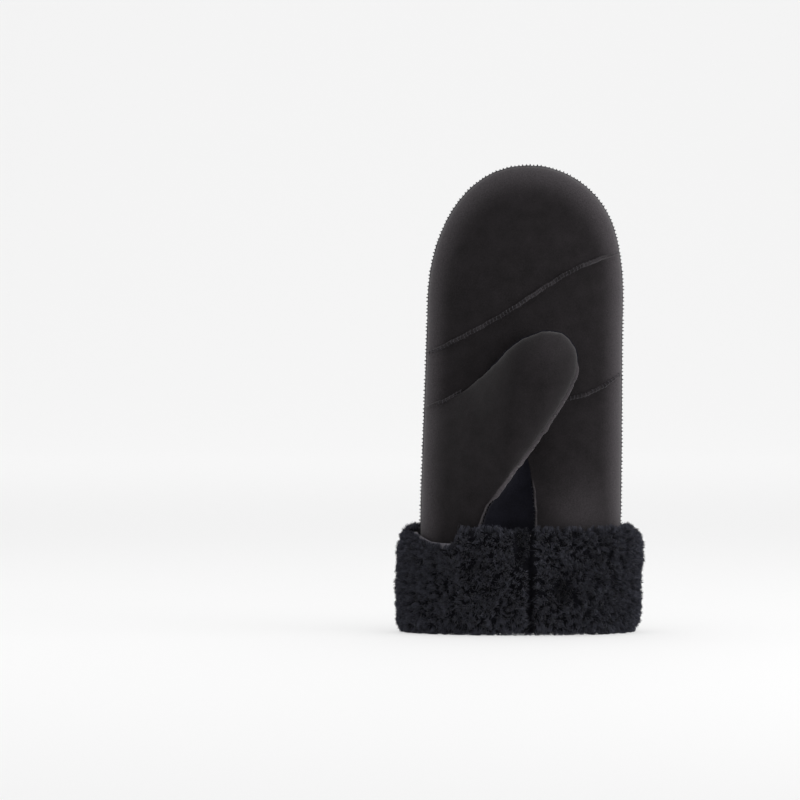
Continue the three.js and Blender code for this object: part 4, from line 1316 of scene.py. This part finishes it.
@dataclass
class Cuff:
    """The turned-back cuff: a lumpy core, its leather edge and the wool that stands on it."""

    stand_off: float = 2.4
    wall: float = 2.4
    pile: float = 8.6
    columns: int = 260
    parting_x: float = 3.7
    parting_half: float = 2.0
    parting_deep: float = 4.5
    clump_spacing: float = 2.0
    strand_width: float = 0.3
    patch: tuple[float, float, float, float] = (6.0, 25.0, 52.0, 24.0)
    dip: tuple = ((-71, 0), (-60, 5.7), (-56, 8.1), (-52, 9.8), (-47, 10.4), (-41.5, 10.8), (-35, 0))
    leather_line: tuple = ((-60, 0.2), (-56, 2.7), (-52, 4.6), (-47, 5.2), (-40, 5.5), (-35, 0))
    hollows: tuple = (
        (Side.PALM, 0.44, 0.42, 6.5, 4.5),
        (Side.PALM, -0.5, 0.62, 8.0, 1.8),
        (Side.BACK, -0.62, 0.5, 8.0, 1.8),
    )
    face_rows: tuple = (
        (6.0, 57.4), (7.2, 58.7), (9.0, 58.0), (11.2, 55.2), (12.4, 50.6), (12.9, 43.0), (12.7, 30.0),
        (12.8, 16.0), (12.2, 7.5), (10.4, 3.0), (8.2, 1.5),
    )

    @property
    def out(self) -> float:
        """Distance of the pile's face from the hand."""
        return self.stand_off + self.wall + self.pile

    def round_hand(self, angle: Array, z: Array, out: Array) -> Array:
        """Returns points at angles round the hand.

        Args:
            angle: angles in radians.
            z: heights.
            out: distances from the leather.
        """
        def place(turn: Array) -> Array:
            """Returns the section of the hand at angles."""
            c, s = np.cos(turn), np.sin(turn)
            deep = np.where(s < 0.0, HAND.palm_depth, HAND.back_depth)
            x = HAND.centre(z) + HAND.half_width(z) * np.sign(c) * np.abs(c) ** (2.0 / HAND.outline_round)
            return np.stack([x, deep * np.sign(s) * np.abs(s) ** (2.0 / HAND.depth_round)], axis=-1)

        run = unit(place(angle + 0.02) - place(angle - 0.02))
        flat = place(angle) + right_of(run) * np.asarray(out)[..., None]
        return np.concatenate([flat, np.broadcast_to(z, flat.shape[:-1])[..., None]], axis=-1)

    def sunk(self, points: Array) -> Array:
        """Returns how deep the parting and the hollows are at points of the pile's face."""
        x, y, z = points[..., 0], points[..., 1], points[..., 2]
        away = (x - self.parting_x) / self.parting_half
        wide = 3.4 * np.exp(-(((x + 1.5) / 5.0) ** 2)) * smooth(z, 36.0, 43.0)
        sunk = np.where(y < 0.0, np.maximum(self.parting_deep * np.exp(-(away**2)), wide), 0.0)
        for where, across, height, reach, deep in self.hollows:
            near = np.hypot(x - HAND.centre(z) - across * HAND.half, z - height * HAND.cuff_top) / reach
            sunk = sunk + np.where(y * where.value > 0.0, deep * np.exp(-(near**2)), 0.0)
        return sunk

    def relief(self, points: Array) -> Array:
        """Returns how far the pile's face is set in or out at points of it."""
        x, y, z = points[..., 0], points[..., 1], points[..., 2]
        turn = np.arctan2(y, x) * 55.0
        relief = 0.8 * HAND.lumps.at(turn, z, 11.0) + 0.5 * HAND.lumps.at(turn + 40.0, z, 5.0)
        relief = relief - self.sunk(points)
        px, pz, width, height = self.patch
        inside = 1.0 - smooth(np.abs(x - px), width / 2 - 1.0, width / 2 + 3.0)
        inside = inside * (1.0 - smooth(np.abs(z - pz), height / 2 - 1.0, height / 2 + 3.0))
        return mix(relief, np.full_like(relief, -2.6), np.where(y > 0.0, inside, 0.0))

    def lowered(self, points: Array) -> Array:
        """Returns points with the cuff's top sunk on the thumb's side, where the raw leather edge shows."""
        drop = np.interp(points[..., 0], *np.array(self.dip).T) * smooth(points[..., 2], 30.0, 57.0)
        moved = points.copy()
        moved[..., 2] -= np.where(points[..., 1] < 0.0, drop, 0.0)
        return moved

    def core(self) -> None:
        """Makes the closed core, in place of the cuff's solid."""
        inside = -self.wall - 0.9
        mouth = [(inside - 2.4, 0.8), (inside - 3.4, 3.0), (inside - 3.6, 14.0)]
        mouth += [(inside - 2.6, 21.0), (inside, 22.0)]
        notch = [(inside, 6.1), (self.stand_off, 6.1), (self.stand_off, 56.4)]
        rows = [*mouth, *notch, *self.face_rows]
        dense = [np.linspace(rows[i], rows[i + 1], 4 if i < 7 else 7)[:-1] for i in range(len(rows) - 1)]
        section = np.vstack([*dense, [rows[-1]], np.linspace(rows[-1], rows[0], 5)[1:]])
        turn, out, z = round_sections(section, self.columns)
        points = self.round_hand(turn, z, out)
        face = smooth(out, self.stand_off + self.wall, 10.0)
        points = self.lowered(self.round_hand(turn, z, out + face * (self.relief(points) - 1.4)))
        points[..., 2] = np.maximum(points[..., 2], 0.6)
        points[-1] = points[0]
        WORKSHOP.give("cuff_core", closed("cuff_core", points), [LINING], ("cuff",))

    def edge(self) -> None:
        """Makes the raw leather edge that shows between the hand and the pile."""
        rows = [(2.6, 38.0), (2.6, 55.7), (2.9, 56.5), (4.6, 56.5), (4.9, 55.7), (4.9, 38.0), (2.6, 38.0)]
        dense = [np.linspace(rows[i], rows[i + 1], 4)[:-1] for i in range(len(rows) - 1)]
        turn, out, z = round_sections(np.vstack([*dense, [rows[-1]]]), 240)
        wave = 0.4 * HAND.lumps.at(turn * 50.0, z * 0.0, 9.0)
        points = self.round_hand(turn, z, out)
        line = np.interp(points[..., 0], *np.array(self.leather_line).T)
        drop = np.where(points[..., 1] < 0.0, line, 0.0)
        points[..., 2] += np.where(z > 50.0, wave - drop, 0.0)
        points[-1] = points[0]
        mesh = closed("cuff_leather_edge", points)
        WORKSHOP.give("cuff_leather_edge", mesh, [RAW_EDGE])

    def strands(self, name: str, clumps_at: Clumps, seed: int, each: int = 18) -> None:
        """Makes wool from clumps.

        Args:
            name: the piece's name.
            clumps_at: places, directions, lengths and lightness of the clumps, the lightness lowered as
                painted shade in the parting and hollows.
            seed: start of the random values.
            each: number of strands in a clump.
        """
        random = np.random.default_rng(seed)
        roots, ways, heights, lightness = clumps_at
        clumps = len(roots)
        side = unit(np.cross(ways, np.array([0.0, 0.0, 1.0]) + 1e-3))
        up = np.cross(side, ways)
        lean = random.normal(0.0, 0.28, (clumps, 2))
        curl = random.normal(0.0, 0.75, (clumps, 2))
        offset = random.normal(0.0, 0.55 * self.clump_spacing, (clumps, each, 2))
        length = heights[:, None] * random.uniform(0.72, 1.12, (clumps, each))
        gather = random.uniform(0.25, 0.6, (clumps, each, 1))
        along = np.array([0.0, 0.4, 0.75, 1.0])
        path = []
        for share in along:
            spread = offset * (1.0 - (1.0 - gather) * share**1.3) + (lean * share + curl * share**2)[:, None]
            rise = length * (share * (1.0 - 0.12 * share))
            place = roots[:, None] + ways[:, None] * rise[..., None] + side[:, None] * spread[..., :1]
            path.append(place + up[:, None] * spread[..., 1:])
        path = np.stack(path, axis=2)
        path[..., 2] = np.maximum(path[..., 2], 0.25)
        run = unit(np.gradient(path, axis=2))
        broad = unit(np.cross(run, unit(random.normal(size=(clumps, each, 1, 3)))))
        width = self.strand_width * np.array([1.0, 0.9, 0.6])
        left = path[:, :, :3] - broad[:, :, :3] * width[None, None, :, None] / 2.0
        right = path[:, :, :3] + broad[:, :, :3] * width[None, None, :, None] / 2.0
        points = np.concatenate([left, right, path[:, :, 3:]], axis=2)
        first = np.arange(clumps * each)[:, None] * 7
        quads = np.concatenate([first + [0, 3, 4, 1], first + [1, 4, 5, 2]])
        mesh = arrays_to_mesh(name, to_metres(points.reshape(-1, 3)), quads, first + [2, 5, 6])
        tint = lightness[:, None] * random.uniform(0.65, 1.0, (clumps, 1))
        tint = tint * random.uniform(0.8, 1.15, (clumps, each))
        fade = np.array([0.45, 0.65, 0.85, 0.45, 0.65, 0.85, 1.0])
        values = np.clip(tint[..., None] * fade, 0.0, 1.0).ravel().astype(np.float32)
        mesh.attributes.new("tip", "FLOAT", "POINT").data.foreach_set("value", values)
        WORKSHOP.give(name, mesh, [WOOL])

    def face_clumps(self, side: Side, seed: int, low: float, high: float) -> Clumps:
        """Returns the clumps on one side of the turned cuff.

        Args:
            side: palm or back.
            seed: start of the random values.
            low: share of the way round the face at which they start.
            high: share at which they end.

        Returns:
            Places, directions, lengths and lightness, lowered as painted shade in the parting and hollows.
        """
        random = np.random.default_rng(seed)
        rows = np.array(self.face_rows)
        reach = lengths_of(rows)
        start = 0.0 if side is Side.BACK else math.pi
        count = int(165.0 * (high - low) * reach[-1] / self.clump_spacing**2)
        turn = start + random.uniform(0.0, math.pi, count)
        place = random.uniform(low, high, count) * reach[-1]
        out, z = (np.interp(place, reach, rows[:, k]) for k in (0, 1))
        d_out, d_z = (np.interp(place, reach, np.gradient(rows[:, k], reach)) for k in (0, 1))
        face = self.round_hand(turn, z, out)
        sunk = self.sunk(face)
        base = self.lowered(self.round_hand(turn, z, out + self.relief(face) - 1.2))
        flat = unit(self.round_hand(turn, z, out + 5.0) - face)
        ways = unit(flat * np.maximum(0.0, -d_z)[:, None] + np.array([0.0, 0.0, 1.0]) * d_out[:, None])
        ways = ways + np.array([0.0, 0.0, -0.22]) * smooth(z, 20.0, 50.0)[:, None]
        beside = face[:, 0] - self.parting_x
        comb = np.where(face[:, 1] < 0.0, 0.5 * np.sign(beside) * np.exp(-((beside / 4.0) ** 2)), 0.0)
        ways = unit(ways + np.array([1.0, 0.0, 0.0]) * comb[:, None])
        short = 1.0 - 0.5 * np.minimum(1.0, sunk / self.parting_deep)
        heights = (3.7 + 0.8 * random.uniform(-1.0, 1.0, count)) * short
        px, pz, width, height = self.patch
        clear = (face[:, 1] > 0.0) & (np.abs(face[:, 0] - px) < width / 2 + 0.8)
        clear &= np.abs(z - pz) < height / 2 + 0.8
        clear |= (face[:, 1] < 0.0) & (np.abs(beside) < 1.5) & (z < 57.0)
        # Painted shade: the wool is darker where the parting and hollows sink.
        lightness = 1.0 - 0.8 * np.minimum(1.0, sunk / 3.0)
        return base[~clear], ways[~clear], heights[~clear], lightness[~clear]

    def mouth_clumps(self) -> Clumps:
        """Returns the clumps inside the mouth."""
        random = np.random.default_rng(SEED + 9)
        count = 900
        turn = random.uniform(0.0, 2.0 * math.pi, count)
        z = random.uniform(1.0, 23.0, count)
        base = self.round_hand(turn, z, np.full(count, -5.6))
        ways = unit(self.round_hand(turn, z, np.full(count, -8.6)) - base + np.array([0.0, 0.0, -0.6]))
        return base, ways, 3.4 + 0.7 * random.uniform(-1.0, 1.0, count), np.ones(count)

    def floor_clumps(self) -> Clumps:
        """Returns the clumps under the hem, between the mouth and the turned pile."""
        random = np.random.default_rng(SEED + 10)
        count = 700
        turn = random.uniform(0.0, 2.0 * math.pi, count)
        base = self.round_hand(turn, np.full(count, 1.6), random.uniform(-5.0, 9.5, count))
        spread = random.normal(0.0, 0.5, (count, 3)) * np.array([1.0, 1.0, 0.1])
        ways = unit(spread + np.array([0.0, 0.0, -0.5]))
        return base, ways, np.full(count, 2.4), np.ones(count)

    def build(self) -> None:
        """Makes the cuff."""
        self.core()
        self.edge()
        for index, side in enumerate(Side):
            for part, (low, high) in enumerate(((0.0, 0.5), (0.5, 1.0))):
                seed = SEED + 10 * index + part
                name = f"pile_{side.name.lower()}_{'upper' if part == 0 else 'lower'}"
                self.strands(name, self.face_clumps(side, seed, low, high), seed + 5)
        self.strands("pile_mouth", self.mouth_clumps(), SEED + 31, 12)
        self.strands("pile_floor", self.floor_clumps(), SEED + 32, 12)


@dataclass
class Patch:
    """The bare leather patch on the back of the cuff, with its raised border and stitches."""

    cuff: Cuff
    thickness: float = 1.8
    border: float = 2.2
    rise: float = 0.7
    corner: float = 2.5

    def face(self, x: Array, z: Array, out: Array) -> Array:
        """Returns points over the cuff's back at places across and up."""
        share = (x - HAND.centre(self.cuff.patch[1])) / (HAND.half_at_cuff + self.cuff.out)
        return self.cuff.round_hand(np.arccos(np.clip(share, -1.0, 1.0)), z, out)

    def build(self) -> None:
        """Makes the patch and its stitches."""
        px, pz, width, height = self.cuff.patch
        columns, rows = 100, 50
        u, v = np.meshgrid(np.linspace(1.0, -1.0, columns), np.linspace(-1.0, 1.0, rows))
        x, z = u * width / 2.0, v * height / 2.0
        squeeze = self.corner * (np.abs(u) * np.abs(v)) ** 9 * 0.3
        x, z = x - np.sign(x) * squeeze, z - np.sign(z) * squeeze
        inset = np.minimum(width / 2.0 - np.abs(x), height / 2.0 - np.abs(z))
        band = smooth(inset, 0.0, 0.7) * (1.0 - smooth(inset, self.border - 0.4, self.border + 0.5))
        soft = 0.12 * HAND.lumps.at(x + 80.0, z, 7.0)
        low = self.cuff.out - self.thickness
        top = self.cuff.out - 0.5 * (1.0 - smooth(inset, 0.0, 0.6)) + self.rise * band + soft
        outer = self.face(px + x, pz + z, top)
        inner = self.face(px + x, pz + z, np.full_like(top, low))
        mesh = walled("patch_leather", outer, inner, band)
        WORKSHOP.give("patch_leather", mesh, [SMOOTH], ("cuff_patch",))
        self.stitches()

    def stitches(self) -> None:
        """Makes the running stitches along the border."""
        px, pz, width, height = self.cuff.patch
        inset = self.border + 0.9
        half = np.array([width / 2.0 - inset, height / 2.0 - inset])
        corners = np.array([[1, -1], [1, 1], [-1, 1], [-1, -1], [1, -1]]) * half
        made = []
        for start, end in zip(corners[:-1], corners[1:]):
            count = int(np.linalg.norm(end - start) / 2.4)
            for k in range(count):
                shares = (k + np.linspace(0.12, 0.88, 5)) / count
                flat = start + (end - start) * shares[:, None]
                out = self.cuff.out + 0.22 * np.sin(np.linspace(0.0, math.pi, 5))
                made.append(self.face(px + flat[:, 0], pz + flat[:, 1], out))
        points, quads = Stitches(radius=0.22).tubes(np.array(made))
        mesh = arrays_to_mesh("patch_stitches", to_metres(points), quads)
        WORKSHOP.give("patch_stitches", mesh, [THREAD])


@dataclass
class Studio:
    """The pale floor, the soft light and the camera."""

    distance: float = 3.2
    elevation: float = math.radians(1.5)
    width: float = 0.4536
    aim: tuple[float, float, float] = (-0.0677, 0.0026, 0.1315)
    curve_start: float = 2.7
    curve_radius: float = 1.5
    wall_top: float = 5.0
    floor_front: float = -4.0
    floor_half: float = 5.0

    def build(self) -> None:
        """Makes them all."""
        self.floor()
        self.lights()
        self.camera()

    def floor(self) -> None:
        """Makes a pale floor that curves up far behind."""
        start, radius = self.curve_start, self.curve_radius
        profile = [(self.floor_front, 0.0), (start, 0.0)]
        for angle in np.linspace(0.1, math.pi / 2.0, 16):
            profile.append((start + radius * math.sin(angle), radius - radius * math.cos(angle)))
        profile.append((start + radius, self.wall_top))
        xs = np.linspace(-self.floor_half, self.floor_half, 3)
        points = np.array([[(x, y, z) for x in xs] for y, z in profile])
        bm = bmesh.new()
        grid_in(bm, points)
        bmesh.ops.recalc_face_normals(bm, faces=bm.faces)
        mesh = mesh_of(bm, "floor")
        mesh.polygons.foreach_set("use_smooth", np.ones(len(mesh.polygons), dtype=bool))
        made = bpy.data.materials.new("pale floor")
        made.use_nodes = True
        shader = made.node_tree.nodes["Principled BSDF"]
        shader.inputs["Base Color"].default_value = srgb("#9a9a9a")
        shader.inputs["Roughness"].default_value = 0.9
        shader.inputs["Emission Color"].default_value = srgb("#ffffff")
        shader.inputs["Emission Strength"].default_value = 0.55
        mesh.materials.append(made)
        floor = bpy.data.objects.new("floor", mesh)
        bpy.context.scene.collection.objects.link(floor)

    def lights(self) -> None:
        """Makes pale surroundings and soft lamps."""
        world = bpy.data.worlds.new("pale surroundings")
        world.use_nodes = True
        back = world.node_tree.nodes["Background"]
        back.inputs["Color"].default_value = srgb("#ffffff")
        back.inputs["Strength"].default_value = 0.68
        bpy.context.scene.world = world
        lamps = (
            ("left box", (-1.0, -0.15, 0.22), (1.0, 0.36), 2.0),
            ("right box", (1.0, -0.35, 0.22), (1.0, 0.36), 9.0),
            ("top box", (0.0, 0.0, 1.6), (1.6, 1.6), 10.0),
            ("backdrop lamp", (0.0, 2.2, 1.8), (2.5, 1.0), 16.0),
        )
        for name, place, size, power in lamps:
            light = bpy.data.lights.new(name, "AREA")
            light.shape = "RECTANGLE"
            light.size, light.size_y = size
            light.energy = power
            lamp = bpy.data.objects.new(name, light)
            lamp.location = place
            goal = Vector((0.0, 4.1, 0.6)) if name == "backdrop lamp" else Vector((0.0, 0.0, 0.14))
            lamp.rotation_euler = (goal - Vector(place)).to_track_quat("-Z", "Y").to_euler()
            bpy.context.scene.collection.objects.link(lamp)

    def camera(self) -> None:
        """Makes the camera at the photograph's angle."""
        data = bpy.data.cameras.new("camera")
        data.sensor_width = 36.0
        data.lens = 36.0 * self.distance / self.width
        data.clip_start, data.clip_end = 0.01, 50.0
        camera = bpy.data.objects.new("camera", data)
        aim = Vector(self.aim)
        back = Vector((0.0, -math.cos(self.elevation), math.sin(self.elevation)))
        camera.location = aim + self.distance * back
        camera.rotation_euler = (aim - camera.location).to_track_quat("-Z", "Y").to_euler()
        bpy.context.scene.collection.objects.link(camera)
        bpy.context.scene.camera = camera
        bpy.context.scene.view_settings.view_transform = "Standard"


def main() -> None:
    """Builds the mitten's looks and its studio."""
    logging.basicConfig(level=logging.INFO, format="%(name)s: %(message)s")
    Shell().build()
    Sewing().build()
    cuff = Cuff()
    cuff.build()
    Patch(cuff).build()
    Studio().build()


if __name__ == "__main__":
    main()
